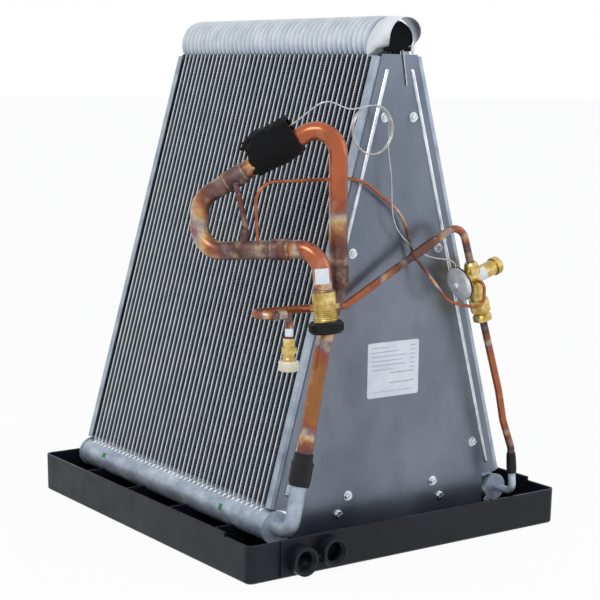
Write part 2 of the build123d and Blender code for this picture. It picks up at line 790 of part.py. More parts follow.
coil_centre = (-54, 520)
coil_radius = 29
coil_y = plate_front_y - 14
capillary_y = plate_front_y - 13
coil_turns = 2
coil_step = 3
turn_points = 10
bulb_tip = bulb_frame.from_local_coords((bulb_offset, 0, 5.4))
lead = [
    valve.from_local_coords((-24, 0, 22.2)),
    valve.from_local_coords((-24, 0, 26)),
    (48, capillary_y - 8, 361),
    (16, capillary_y, 376),
    (-12, capillary_y, 404),
    (-20, capillary_y, 460),
    (-26, capillary_y, 505),
]
coil = [
    (
        coil_centre[0] + coil_radius * cos(2 * pi * i / turn_points),
        coil_y - coil_step * i / turn_points,
        coil_centre[1] + coil_radius * sin(2 * pi * i / turn_points),
    )
    for i in range(1, coil_turns * turn_points + 3)
]
tail = [
    (-94, coil_y - 8, 545),
    (-125, coil_y - 8, 553),
    bulb_frame.from_local_coords((bulb_offset, 0, -8)),
    bulb_tip,
]
with BuildPart() as capillary_tube:
    with BuildLine() as capillary_route:
        Spline(*lead, *coil, *tail)
    with BuildSketch(Plane(capillary_route.line @ 0, z_dir=capillary_route.line % 0)):
        Circle(capillary_radius)
    sweep(path=capillary_route.line)
save(capillary_tube, "capillary_tube")

# a wire hook hangs over the plate's top edge and ties the pipework in transit
with BuildPart() as wire_hook:
    corners = [
        (2.6, plate_back_y + 1.2, plate_top - 6),
        (2.6, plate_back_y + 1.2, plate_top + 4.5),
        (3.4, plate_front_y - 1.3, plate_top + 4.5),
        (10.4, plate_front_y - 1.3, 572),
    ]
    pipe(corners, 1, 1.5)
save(wire_hook, "wire_hook")
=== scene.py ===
# Looks for an A-coil evaporator. The CAD frame is in metres, +Z up, and the front faces -Y.
import json
from math import atan2, cos, hypot, pi, radians, sin, tan

import bmesh
import bpy
from mathutils import Matrix, Vector, noise


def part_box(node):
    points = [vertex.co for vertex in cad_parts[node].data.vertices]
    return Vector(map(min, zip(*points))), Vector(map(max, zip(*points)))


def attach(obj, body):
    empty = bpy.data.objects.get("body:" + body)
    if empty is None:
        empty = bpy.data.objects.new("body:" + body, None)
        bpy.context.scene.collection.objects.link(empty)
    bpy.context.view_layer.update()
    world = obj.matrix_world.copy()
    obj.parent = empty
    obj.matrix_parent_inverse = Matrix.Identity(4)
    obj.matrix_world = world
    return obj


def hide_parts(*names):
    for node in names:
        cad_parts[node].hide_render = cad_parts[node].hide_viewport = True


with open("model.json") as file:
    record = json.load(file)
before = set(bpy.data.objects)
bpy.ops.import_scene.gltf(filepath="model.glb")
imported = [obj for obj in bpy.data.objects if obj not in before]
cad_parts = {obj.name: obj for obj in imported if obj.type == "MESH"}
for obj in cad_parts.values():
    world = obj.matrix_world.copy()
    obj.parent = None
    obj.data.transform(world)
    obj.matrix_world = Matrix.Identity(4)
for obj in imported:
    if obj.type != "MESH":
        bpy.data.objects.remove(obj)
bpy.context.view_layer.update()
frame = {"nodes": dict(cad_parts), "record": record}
nodes = frame["nodes"]
mm = 0.001
print("frame loaded:", len(nodes), "nodes")


def tone(code):  # sRGB hex to a linear colour
    parts = [int(code[i:i + 2], 16) / 255 for i in (1, 3, 5)]
    return [p / 12.92 if p <= 0.04045 else ((p + 0.055) / 1.055) ** 2.4 for p in parts] + [1]


# one node with its settings, its links and, for a colour ramp, its stops
def addNode(tree, kind, inputs=None, stops=None, **settings):
    made = tree.nodes.new(kind)
    for name, value in settings.items():
        setattr(made, name, value)
    for socket, value in (inputs or {}).items():
        if isinstance(value, bpy.types.NodeSocket):
            tree.links.new(value, made.inputs[socket])
        else:
            made.inputs[socket].default_value = value
    if stops:
        bar = made.color_ramp.elements
        while len(bar) < len(stops):
            bar.new(0.5)
        for element, (spot, value) in zip(bar, stops):
            element.position = spot
            element.color = tone(value) if isinstance(value, str) else (value, value, value, 1)
    return made


def newFinish(name):
    finish = bpy.data.materials.new(name)
    finish.use_nodes = True
    finish.node_tree.nodes.clear()
    place = addNode(finish.node_tree, "ShaderNodeTexCoord").outputs["Object"]
    return finish, finish.node_tree, place


# a pattern whose lumps or cells are about sizeMm across, stretched along the object's axes
def pattern(tree, place, sizeMm, stretch=(1, 1, 1), detail=3.0, rough=0.5, cells=False):
    scale = [1000 / sizeMm * share for share in stretch]
    spread = addNode(tree, "ShaderNodeMapping", {"Vector": place, "Scale": scale})
    if cells:
        dots = addNode(tree, "ShaderNodeTexVoronoi", {"Vector": spread.outputs[0], "Scale": 1.0})
        return dots.outputs["Distance"]
    return addNode(tree, "ShaderNodeTexNoise", {
        "Vector": spread.outputs[0], "Scale": 1.0, "Detail": detail, "Roughness": rough}).outputs["Fac"]


# each tube laps the next one in the fold: painted shade just behind the lap and a painted highlight at its
# edge, with a bump that rises toward the edge
def paintLapShade(tree, place, colour, height, laps):
    along = addNode(tree, "ShaderNodeSeparateXYZ", {"Vector": place}).outputs["Y"]
    waver = pattern(tree, place, laps["waverMm"])
    along = addNode(tree, "ShaderNodeMath", {0: waver, 1: laps["waverBy"] * mm, 2: along},
                    operation="MULTIPLY_ADD").outputs[0]
    pitch = laps["pitch"]
    count = addNode(tree, "ShaderNodeMath", {0: along, 1: 1 / (pitch * mm), 2: -laps["firstEdge"] / pitch},
                    operation="MULTIPLY_ADD")
    share = addNode(tree, "ShaderNodeMath", {0: count.outputs[0]}, operation="FRACT").outputs[0]
    # the stops run from painted shade behind the lap to a painted white highlight at the edge
    lapShade = addNode(tree, "ShaderNodeValToRGB", {"Fac": share}, stops=laps["shadeToHighlight"]).outputs["Color"]
    colour = addNode(tree, "ShaderNodeMix", {0: 1.0, 6: colour, 7: lapShade},
                     data_type="RGBA", blend_type="MULTIPLY")
    height = addNode(tree, "ShaderNodeMath", {0: share, 1: laps["rise"], 2: height},
                     operation="MULTIPLY_ADD")
    return colour.outputs[2], height.outputs[0]


def closeFinish(tree, look, height, sockets):
    if height:
        dent = {"Height": height, "Distance": look["depthMm"] * mm, "Strength": look["strength"]}
        sockets["Normal"] = addNode(tree, "ShaderNodeBump", dent).outputs["Normal"]
    shader = addNode(tree, "ShaderNodeBsdfPrincipled", sockets)
    addNode(tree, "ShaderNodeOutputMaterial", {"Surface": shader.outputs["BSDF"]})


def patternedFinish(name, look):
    finish, tree, place = newFinish(name)
    cloud = pattern(tree, place, **look["cloud"])
    colour = addNode(tree, "ShaderNodeValToRGB", {"Fac": cloud}, stops=look["colours"]).outputs["Color"]
    if "patch" in look:
        share = addNode(tree, "ShaderNodeValToRGB", {"Fac": pattern(tree, place, **look["patch"])},
                        stops=look["patchShare"]).outputs["Color"]
        colour = addNode(tree, "ShaderNodeMix", {0: share, 6: colour, 7: tone(look["patchColour"])},
                         data_type="RGBA").outputs[2]
    sockets = dict(look["shader"])
    if "gloss" in look:
        shine = pattern(tree, place, **look["gloss"])
        sockets["Roughness"] = addNode(tree, "ShaderNodeValToRGB", {"Fac": shine},
                                       stops=look["glossRange"]).outputs["Color"]
    height = None
    if "surface" in look:
        height = pattern(tree, place, **look["surface"])
        if "laps" in look:
            colour, height = paintLapShade(tree, place, colour, height, look["laps"])
    closeFinish(tree, look, height, {"Base Color": colour, **sockets})
    return finish


brightAluminium = {  # thin brazed strip, bright satin, with draw lines
    "cloud": {"sizeMm": 22, "detail": 4}, "colours": [(0.3, "#cfd6dd"), (0.7, "#eceff3")],
    "gloss": {"sizeMm": 9, "stretch": (1, 2, 1), "detail": 4}, "glossRange": [(0.3, 0.3), (0.7, 0.46)],
    "surface": {"sizeMm": 1.4, "stretch": (0.2, 1, 0.2)}, "depthMm": 0.1, "strength": 0.6,
    "shader": {"Metallic": 0.8}}

# each look is named for its material, with what that gives the eye; spark texture, draw and rolling lines,
# fibres and pores are finer than a millimetre, and are drawn at 1 to 2 mm so that they show
looks = {
    "mouldedPolypropylene": {  # blue-black filled plastic: fine spark texture, faint flow marks, worn lighter
        "cloud": {"sizeMm": 90, "detail": 4}, "colours": [(0.3, "#0b0d14"), (0.7, "#151923")],
        "patch": {"sizeMm": 14, "stretch": (1, 1, 3), "detail": 6, "rough": 0.7},
        "patchShare": [(0.58, 0.0), (0.78, 0.3)], "patchColour": "#3d4458",
        "gloss": {"sizeMm": 30, "detail": 5}, "glossRange": [(0.3, 0.34), (0.7, 0.5)],
        "surface": {"sizeMm": 1.1}, "depthMm": 0.12, "strength": 0.5,
        "shader": {"IOR": 1.49, "Specular IOR Level": 0.26}},
    "oxidisedAluminium": {  # extruded header after the brazing oven: blue-grey, flux clouds, long draw lines
        "cloud": {"sizeMm": 26, "stretch": (1, 0.6, 1), "detail": 6, "rough": 0.65},
        "colours": [(0.3, "#8b98ab"), (0.5, "#aab7c7"), (0.7, "#d2dae4")],
        "gloss": {"sizeMm": 12, "detail": 4}, "glossRange": [(0.3, 0.42), (0.7, 0.62)],
        "surface": {"sizeMm": 1.6, "stretch": (1, 0.03, 1)}, "depthMm": 0.1, "strength": 0.6,
        "shader": {"Metallic": 0.55}},
    "brazedTubeAluminium": {  # the multiport tubes, with painted shade behind each lap of the fold and a painted highlight at its edge
        **brightAluminium,
        "laps": {"firstEdge": -180.4, "pitch": 10.2, "waverMm": 30, "waverBy": 1.6, "rise": 3.0, "shadeToHighlight": [
            (0.0, "#6f7c8d"), (0.14, "#a9b3bf"), (0.4, "#ccd2d9"), (0.66, "#e2e6ea"), (0.9, "#f4f6f8"),
            (0.96, "#ffffff")]}},
    "formedTrimAluminium": brightAluminium,
    "finStockPaintedShade": {  # thin clad strip, its colour darkened to a blue-grey as painted shade between the tubes
        "cloud": {"sizeMm": 60}, "colours": [(0.3, "#59616e"), (0.7, "#717b8a")],
        "surface": {"sizeMm": 0.9}, "depthMm": 0.06, "strength": 0.6,
        "shader": {"Metallic": 0.6, "Roughness": 0.5}},
    "rolledSheet": {  # galvanised sheet, blue-grey: rolling lines across it and soft stains
        "cloud": {"sizeMm": 120, "stretch": (1, 1, 0.6), "detail": 5, "rough": 0.6},
        "colours": [(0.3, "#666e7b"), (0.7, "#828995")],
        "patch": {"sizeMm": 46, "stretch": (1, 1, 0.5), "detail": 5},
        "patchShare": [(0.55, 0.0), (0.78, 0.45)], "patchColour": "#545863",
        "gloss": {"sizeMm": 55, "stretch": (1, 1, 0.4), "detail": 5},
        "glossRange": [(0.3, 0.27), (0.7, 0.38)],
        "surface": {"sizeMm": 1.2, "stretch": (0.03, 1, 1)}, "depthMm": 0.05, "strength": 0.35,
        "shader": {"Metallic": 0.78}},
    "zincScrew": {  # bright zinc plate
        "cloud": {"sizeMm": 5}, "colours": [(0.35, "#e2e6eb"), (0.7, "#c6cbd1")],
        "surface": {"sizeMm": 0.8}, "depthMm": 0.05, "strength": 0.4,
        "shader": {"Metallic": 1.0, "Roughness": 0.24}},
    "machinedBrass": {  # free-machining brass: yellow, turning lines, darker handled patches
        "cloud": {"sizeMm": 12, "detail": 5, "rough": 0.6},
        "colours": [(0.3, "#a08542"), (0.52, "#cbb169"), (0.72, "#e8d9a4")],
        "gloss": {"sizeMm": 8, "detail": 4}, "glossRange": [(0.3, 0.26), (0.7, 0.42)],
        "surface": {"sizeMm": 1.0, "stretch": (1, 1, 3)}, "depthMm": 0.08, "strength": 0.5,
        "shader": {"Metallic": 0.95}},
    "feltWrap": {  # black sticky-backed felt: matt fibres, dusty folds
        "cloud": {"sizeMm": 1.3, "stretch": (1, 1, 0.4), "detail": 6, "rough": 0.75},
        "colours": [(0.3, "#030304"), (0.7, "#0f1013")],
        "patch": {"sizeMm": 11, "detail": 5},
        "patchShare": [(0.58, 0.0), (0.8, 0.22)], "patchColour": "#2a2b31",
        "surface": {"sizeMm": 1.3, "stretch": (1, 1, 0.4), "detail": 6, "rough": 0.75},
        "depthMm": 0.5, "strength": 0.8,
        "shader": {"Roughness": 0.85, "Specular IOR Level": 0.2, "Sheen Weight": 0.06,
                   "Sheen Roughness": 0.5}},
    "closedCellFoam": {  # black foam, cut: fine open pores, painted darker at their middles as painted shade, and matt skin
        "cloud": {"sizeMm": 1.613, "cells": True}, "colours": [(0.1, "#060607"), (0.6, "#1b1c1f")],
        "surface": {"sizeMm": 1.613, "cells": True}, "depthMm": 0.5, "strength": 0.8,
        "shader": {"Roughness": 0.9, "Specular IOR Level": 0.15}},
    "creamPolyethylene": {  # moulded shipping cap, cream, slightly see-through at its rim
        "cloud": {"sizeMm": 10, "detail": 4}, "colours": [(0.35, "#e2dac4"), (0.7, "#efe9d9")],
        "surface": {"sizeMm": 1.5}, "depthMm": 0.1, "strength": 0.4,
        "shader": {"Roughness": 0.45, "IOR": 1.5, "Subsurface Weight": 0.1, "Subsurface Scale": 0.003}},
    "gumPaper": {  # coated label paper, bare, with faint fibre
        "cloud": {"sizeMm": 20, "detail": 5}, "colours": [(0.35, "#dfe7f1"), (0.7, "#f0f4fa")],
        "surface": {"sizeMm": 2.2}, "depthMm": 0.05, "strength": 0.4, "shader": {"Roughness": 0.5}},
    "greyRule": {  # thin printed ink, uneven
        "cloud": {"sizeMm": 2.2, "detail": 5}, "colours": [(0.0, "#8b8e94"), (1.0, "#7a7c82")],
        "shader": {"Roughness": 0.6}},
    "greenPaint": {  # a dab of marking paint, uneven
        "cloud": {"sizeMm": 2.2, "detail": 5}, "colours": [(0.0, "#3f8f5e"), (1.0, "#367d52")],
        "shader": {"Roughness": 0.6}},
}

# near black mouldings: the nylon cap is glossier than the shrunk sleeves
for name, rough in (("mouldedNylon", 0.42), ("shrunkSleeve", 0.5)):
    looks[name] = {
        "cloud": {"sizeMm": 16, "detail": 4}, "colours": [(0.35, "#050607"), (0.7, "#121419")],
        "surface": {"sizeMm": 1.6, "detail": 4}, "depthMm": 0.12, "strength": 0.5,
        "shader": {"Roughness": rough, "IOR": 1.5, "Specular IOR Level": 0.3}}

# plain metals: colours, roughness, size of the clouds in millimetres and metallic
for name, low, high, rough, sizeMm, metallic in (
        ("formedChannel", "#8a96a7", "#b4bfcc", 0.4, 24, 0.75),  # folded end channel, greyer than the tubes
        ("beadPaintedHighlight", "#b9c1cc", "#e6ebf1", 0.3, 14, 0.95),  # pressed bead, much lighter than its plate: a painted highlight
        ("stainlessWire", "#a5a7a9", "#c9cbcd", 0.26, 6, 0.95),  # drawn wire, bright
        ("turnedSteel", "#cfd4da", "#f0f2f5", 0.3, 9, 0.5),  # spun shell of the power head, pale
        ("brazeMetal", "#6b5550", "#a18c78", 0.42, 3, 0.95),  # filler metal, dull and brown
        ("whiteFlux", "#c4cbd3", "#eef1f4", 0.55, 3, 0.95)):  # flux residue, chalky
    looks[name] = {
        "cloud": {"sizeMm": sizeMm, "detail": 4}, "colours": [(0.3, low), (0.7, high)],
        "surface": {"sizeMm": 1.2, "detail": 4}, "depthMm": 0.06, "strength": 0.4,
        "shader": {"Metallic": metallic, "Roughness": rough}}

copper = {
    "wander": 38, "wanderBy": 0.026, "blotchMm": 14, "blotchBy": 0.34, "metallic": 0.55,
    # from the joint outwards: soot, grey oxide, brown, straw, grey-blue, purple, then the pipe's own colour
    "tints": [(0.0, "#2f2628"), (0.14, "#54403f"), (0.26, "#7b6666"), (0.36, "#5c3f3f"), (0.47, "#8a523c"),
              (0.58, "#b98352"), (0.66, "#cdb184"), (0.72, "#a9a09c"), (0.78, "#8b5f62"), (0.86, "#9c5336")],
    "ownFrom": 0.97,
    "layers": [  # pattern, where it shows, what else it follows, colour
        ({"sizeMm": 24, "detail": 5, "rough": 0.6}, [(0.43, 0.0), (0.66, 0.72)], "used", "#6b4134"),
        # the pale pinkish blotches below are a painted reflection; the brown blotches above are wear
        ({"sizeMm": 19, "detail": 3, "rough": 0.5}, [(0.54, 0.0), (0.76, 0.55)], "used", "#e9c4a8"),
        ({"sizeMm": 7, "detail": 7, "rough": 0.7}, [(0.56, 0.0), (0.66, 1.0)], "near", "#1b1517")],
    "used": [(0.55, 1.0), (1.0, 0.45)], "near": [(0.1, 1.0), (0.6, 0.0)],
    "gloss": [(0.1, 0.46), (0.5, 0.3), (0.95, 0.2)],
    "surface": {"sizeMm": 3.5, "detail": 5}, "depthMm": 0.12, "strength": 0.6,
}


# soft drawn copper: clean away from the torch, then straw, purple, grey oxide and black flux at each joint
def drawnCopper(name, joints, own, soot, reachMm=46):
    finish, tree, place = newFinish(name)
    wander = addNode(tree, "ShaderNodeTexNoise", {
        "Vector": place, "Scale": copper["wander"], "Detail": 4.0, "Roughness": 0.6})
    by = copper["wanderBy"]
    shift = addNode(tree, "ShaderNodeVectorMath", {
        0: wander.outputs["Color"], 1: [by] * 3, 2: [-by / 2] * 3}, operation="MULTIPLY_ADD")
    moved = addNode(tree, "ShaderNodeVectorMath", {0: place, 1: shift.outputs[0]},
                    operation="ADD").outputs[0]
    heat = None
    for joint, reach in joints:
        away = addNode(tree, "ShaderNodeVectorMath", {0: moved, 1: Vector(joint) * mm}, operation="DISTANCE")
        away = addNode(tree, "ShaderNodeMath", {0: away.outputs["Value"], 1: reach * reachMm * mm},
                       operation="DIVIDE").outputs[0]
        if heat:
            away = addNode(tree, "ShaderNodeMath", {0: heat, 1: away}, operation="MINIMUM").outputs[0]
        heat = away
    blotch = pattern(tree, place, copper["blotchMm"], detail=5)
    blotch = addNode(tree, "ShaderNodeMath", {0: blotch, 1: copper["blotchBy"], 2: -copper["blotchBy"] / 2},
                     operation="MULTIPLY_ADD")
    heat = addNode(tree, "ShaderNodeMath", {0: heat, 1: blotch.outputs[0]}, operation="ADD").outputs[0]
    colour = addNode(tree, "ShaderNodeValToRGB", {"Fac": heat},
                     stops=copper["tints"] + [(copper["ownFrom"], own)]).outputs["Color"]
    for lumps, shown, follows, code in copper["layers"]:
        share = addNode(tree, "ShaderNodeValToRGB", {"Fac": pattern(tree, place, **lumps)}, stops=shown)
        limit = addNode(tree, "ShaderNodeValToRGB", {"Fac": heat}, stops=copper[follows])
        share = addNode(tree, "ShaderNodeMath", {0: share.outputs["Color"], 1: limit.outputs["Color"]},
                        operation="MULTIPLY")
        if follows == "near":
            share = addNode(tree, "ShaderNodeMath", {0: share.outputs[0], 1: soot}, operation="MULTIPLY")
        colour = addNode(tree, "ShaderNodeMix", {0: share.outputs[0], 6: colour, 7: tone(code)},
                         data_type="RGBA").outputs[2]
    rough = addNode(tree, "ShaderNodeValToRGB", {"Fac": heat}, stops=copper["gloss"]).outputs["Color"]
    closeFinish(tree, copper, pattern(tree, place, **copper["surface"]), {
        "Base Color": colour, "Metallic": copper["metallic"], "Roughness": rough})
    return finish


# the pipes' own lines, as the frame has them, in millimetres
pipes = {
    "riserFoot": (-174, -243, 48), "riserKnee": (-131, -243, 268), "riserTop": (-114, -243, 540),
    "riserJointUp": 77, "reducer": (-110.27, -243, 345),
    "loopStart": (-233, -132, 436), "loopLow": (-234, -134, 375),
    "loopJointAlong": 143, "elbowJointAlong": 104, "stubAlong": 56, "equalizerAlong": 75,
    "fittingTop": (-147, -264, 336), "fittingAxis": (0.064, -0.074, -1), "elbowRun": 50,
    "suctionRadius": 11.1, "liquidRadius": 4.76,
    "valveCentre": (99, -246.4, 336), "valveLean": 18, "inletRise": 74, "inletJointRise": 30,
    "backCorner": (-86, -226.4, 311), "liquidJointAlong": 111,
    "liquidElbow": (-200, -254.4, 312), "liquidFittingTop": (-188, -254.4, 284),
    "outletKnee": (172.5, -246.4, 108), "outletSeat": (118, -246.4, 276),
}


def unit(start, end):
    return (Vector(end) - Vector(start)).normalized()


def toward(start, end, distance):
    return Vector(start) + unit(start, end) * distance


fittingTop = Vector(pipes["fittingTop"])
fittingAxis = Vector(pipes["fittingAxis"]).normalized()
loopEnd = fittingTop - fittingAxis * pipes["elbowRun"]
riserJoint = toward(pipes["riserFoot"], pipes["riserKnee"], pipes["riserJointUp"])
loopJoint = toward(pipes["riserTop"], pipes["loopStart"], pipes["loopJointAlong"])
elbowJoint = toward(pipes["loopLow"], loopEnd, pipes["elbowJointAlong"])
stubFoot = toward(pipes["loopLow"], loopEnd, pipes["stubAlong"])
equalizerFoot = toward(pipes["loopLow"], loopEnd, pipes["equalizerAlong"])
valveLean = radians(pipes["valveLean"])
valveUp = Vector((-sin(valveLean), 0, cos(valveLean)))
valveAcross = Vector((cos(valveLean), 0, sin(valveLean)))
valveCentre = Vector(pipes["valveCentre"])
inletCorner = valveCentre + valveUp * pipes["inletRise"]
liquidJoint = toward(pipes["backCorner"], inletCorner, pipes["liquidJointAlong"])

# each copper: the joints it was heated at and how far the heat reached, its own colour, its soot
coppers = {
    "cleanCopper": ([(loopJoint, 1.0), (pipes["reducer"], 2.3)], "#b35f39", 0.5),
    "loopCopper": ([(loopJoint, 2.1), (elbowJoint, 1.5), (stubFoot, 1.7), (equalizerFoot, 1.2)],
                   "#c07f5c", 0.9),
    "riserCopper": ([(pipes["reducer"], 2.3), (riserJoint, 1.3)], "#9a6334", 0.7),
    "elbowCopper": ([(elbowJoint, 0.8), (fittingTop, 0.5)], "#b0623f", 0.7),
    "smallCopper": ([(liquidJoint, 1.9), (pipes["liquidElbow"], 0.8), (pipes["liquidFittingTop"], 0.5),
                     (valveCentre + valveUp * pipes["inletJointRise"], 0.9), (pipes["outletKnee"], 0.9),
                     (pipes["outletSeat"], 1.1)], "#a85f3b", 0.7, 40),
    "sootCopper": ([(loopJoint, 2), (stubFoot, 3), (pipes["reducer"], 2)], "#6d4a40", 1.0),
}
finishes = {name: patternedFinish(name, look) for name, look in looks.items()}
finishes.update({name: drawnCopper(name, *values) for name, values in coppers.items()})
print("finishes made:", len(finishes))

nodeFinish = {
    "mouldedPolypropylene": ["drain_pan", "drain_port_panel"],
    "oxidisedAluminium": ["suction_header", "liquid_header", "suction_header_caps", "liquid_header_caps",
                          "suction_header_elbow", "liquid_header_elbow", "distributor_tube"],
    "formedChannel": ["front_right_channel", "front_left_channel", "rear_right_channel", "rear_left_channel"],
    "rolledSheet": ["front_delta_plate", "rear_delta_plate"],
    "zincScrew": ["front_plate_screws", "rear_plate_screws"],
    "cleanCopper": ["bulb_pipe", "sensing_bulb"],
    "loopCopper": ["suction_loop"],
    "riserCopper": ["suction_riser"],
    "elbowCopper": ["suction_elbow"],
    "smallCopper": ["liquid_elbow", "liquid_line", "valve_inlet_pipe", "valve_outlet_pipe", "equalizer_tube"],
    "sootCopper": ["suction_couplings", "riser_reducer", "liquid_couplings", "process_stub"],
    "machinedBrass": ["suction_fitting", "liquid_fitting", "valve_body", "valve_stem_cap",
                      "valve_outlet_nuts"],
    "mouldedNylon": ["suction_cap"],
    "shrunkSleeve": ["suction_sleeve", "outlet_sleeve"],
    "creamPolyethylene": ["liquid_cap"],
    "gumPaper": ["rating_label"],
    "stainlessWire": ["capillary_tube", "wire_hook"],
    "turnedSteel": ["power_head"],
}
for finishName, wanted in nodeFinish.items():
    for nodeName in wanted:
        mesh = nodes[nodeName].data
        mesh.materials.clear()
        mesh.materials.append(finishes[finishName])


def pieceFrom(name, verts, faces, finish=None, smooth=True):  # points in millimetres
    mesh = bpy.data.meshes.new(name)
    mesh.from_pydata([Vector(v) * mm for v in verts], [], faces)
    mesh.update()
    if finish:
        mesh.materials.append(finish)
    mesh.shade_smooth() if smooth else mesh.shade_flat()
    piece = bpy.data.objects.new(name, mesh)
    bpy.context.scene.collection.objects.link(piece)
    return piece


def tidyNormals(piece, join=0.01):  # doubles merged, faces outwards
    form = bmesh.new()
    form.from_mesh(piece.data)
    bmesh.ops.remove_doubles(form, verts=form.verts, dist=join * mm)
    bmesh.ops.recalc_face_normals(form, faces=form.faces)
    form.to_mesh(piece.data)
    form.free()
    return piece


def baked(piece, smoothAngle=None):  # the modifiers' result as a plain mesh
    bpy.context.view_layer.update()
    solved = piece.evaluated_get(bpy.context.evaluated_depsgraph_get())
    mesh = bpy.data.meshes.new_from_object(solved)
    mesh.name = piece.name
    piece.modifiers.clear()
    piece.data = mesh
    if smoothAngle is not None:
        mesh.shade_smooth()
        mesh.set_sharp_from_angle(angle=radians(smoothAngle))
    return piece


def stood(piece, start, axis):  # a mesh made up the Z axis, put along another one
    turn = Vector(axis).to_track_quat("Z", "Y").to_matrix().to_4x4()
    piece.data.transform(Matrix.Translation(Vector(start) * mm) @ turn)
    return piece


def settle(piece, replaced=None):
    if replaced:
        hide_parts(replaced)
    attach(piece, "root")


def skinRings(rings, closed=True):  # quads between rings of points, with both ends capped
    count = len(rings[0])
    verts = [p for ring in rings for p in ring]
    faces = []
    for r in range(len(rings) - 1):
        for i in range(count):
            j = (i + 1) % count
            faces.append((r * count + i, r * count + j, (r + 1) * count + j, (r + 1) * count + i))
    if closed:
        faces.append(tuple(range(count))[::-1])
        faces.append(tuple((len(rings) - 1) * count + i for i in range(count)))
    return verts, faces


def skinEach(groups):  # several skins as one mesh
    verts, faces = [], []
    for rings in groups:
        more, joined = skinRings(rings)
        faces += [tuple(len(verts) + i for i in face) for face in joined]
        verts += more
    return verts, faces


def turned(axisStart, axis, steps, sides):  # rings of a turned shape from (distance, radius) steps
    axis = Vector(axis).normalized()
    side = axis.orthogonal().normalized()
    other = axis.cross(side)
    spokes = [side * cos(2 * pi * i / sides) + other * sin(2 * pi * i / sides) for i in range(sides)]
    return [[Vector(axisStart) + axis * d + spoke * r for spoke in spokes] for d, r in steps]


def newTree(name, sizes):
    tree = bpy.data.node_groups.new(name, "GeometryNodeTree")
    face = tree.interface
    face.new_socket("Geometry", in_out="INPUT", socket_type="NodeSocketGeometry")
    for label, kind in sizes.items():
        face.new_socket(label, in_out="INPUT", socket_type="NodeSocket" + kind)
    face.new_socket("Finish", in_out="INPUT", socket_type="NodeSocketMaterial")
    face.new_socket("Geometry", in_out="OUTPUT", socket_type="NodeSocketGeometry")
    return tree, addNode(tree, "NodeGroupInput").outputs


def endTree(tree, shape, given):
    real = addNode(tree, "GeometryNodeRealizeInstances", {"Geometry": shape}).outputs[0]
    dressed = addNode(tree, "GeometryNodeSetMaterial", {"Geometry": real, "Material": given["Finish"]})
    addNode(tree, "NodeGroupOutput", {0: dressed.outputs[0]})


def grow(piece, tree, values, finish):
    worker = piece.modifiers.new(tree.name, "NODES")
    worker.node_group = tree
    sockets = {s.name: s.identifier for s in tree.interface.items_tree
               if s.item_type == "SOCKET" and s.in_out == "INPUT"}
    for label, value in {**values, "Finish": finish}.items():
        worker[sockets[label]] = value
    return piece


# copies of the piece's own mesh, in a row, or turned round the Z axis like the grip ribs of a cap
copyTree, given = newTree("rowOrRing", {"Count": "Int", "Step": "Vector", "Turn": "Float"})
line = addNode(copyTree, "GeometryNodeMeshLine", {"Count": given["Count"], "Offset": given["Step"]},
               mode="OFFSET")
index = addNode(copyTree, "GeometryNodeInputIndex").outputs[0]
angle = addNode(copyTree, "ShaderNodeMath", {0: index, 1: given["Turn"]}, operation="MULTIPLY")
spin = addNode(copyTree, "ShaderNodeCombineXYZ", {"Z": angle.outputs[0]})
copies = addNode(copyTree, "GeometryNodeInstanceOnPoints", {
    "Points": line.outputs[0], "Instance": given["Geometry"], "Rotation": spin.outputs[0]})
endTree(copyTree, copies.outputs[0], given)

# a pleated fin: a strip in zigzag between two tubes
finTree, given = newTree("pleatedFin", {
    "Gap Width": "Float", "Depth": "Float", "Run": "Float", "Folds": "Int"})
sheet = addNode(finTree, "GeometryNodeMeshGrid", {
    "Size X": given["Depth"], "Size Y": given["Run"], "Vertices X": 2, "Vertices Y": given["Folds"]})
index = addNode(finTree, "GeometryNodeInputIndex").outputs[0]
column = addNode(finTree, "ShaderNodeMath", {0: index, 1: given["Folds"]}, operation="MODULO")
parity = addNode(finTree, "ShaderNodeMath", {0: column.outputs[0], 1: 2.0}, operation="MODULO")
swing = addNode(finTree, "ShaderNodeMath", {0: parity.outputs[0], 1: 0.5}, operation="SUBTRACT")
swing = addNode(finTree, "ShaderNodeMath", {0: swing.outputs[0], 1: given["Gap Width"]}, operation="MULTIPLY")
lift = addNode(finTree, "ShaderNodeCombineXYZ", {"Z": swing.outputs[0]}).outputs[0]
pleats = addNode(finTree, "GeometryNodeSetPosition", {"Geometry": sheet.outputs[0], "Offset": lift})
endTree(finTree, pleats.outputs[0], given)

# a screw thread: a small ridge swept along a helix up the Z axis
threadTree, given = newTree("screwThread", {
    "Turns": "Float", "Radius": "Float", "Height": "Float", "Ridge": "Float"})
helix = addNode(threadTree, "GeometryNodeCurveSpiral", {
    "Resolution": 36, "Rotations": given["Turns"], "Height": given["Height"],
    "Start Radius": given["Radius"], "End Radius": given["Radius"]})
ridge = addNode(threadTree, "GeometryNodeCurvePrimitiveCircle",
                {"Resolution": 5, "Radius": given["Ridge"]}, mode="RADIUS")
swept = addNode(threadTree, "GeometryNodeCurveToMesh",
                {"Curve": helix.outputs[0], "Profile Curve": ridge.outputs[0], "Fill Caps": True})
endTree(threadTree, swept.outputs[0], given)

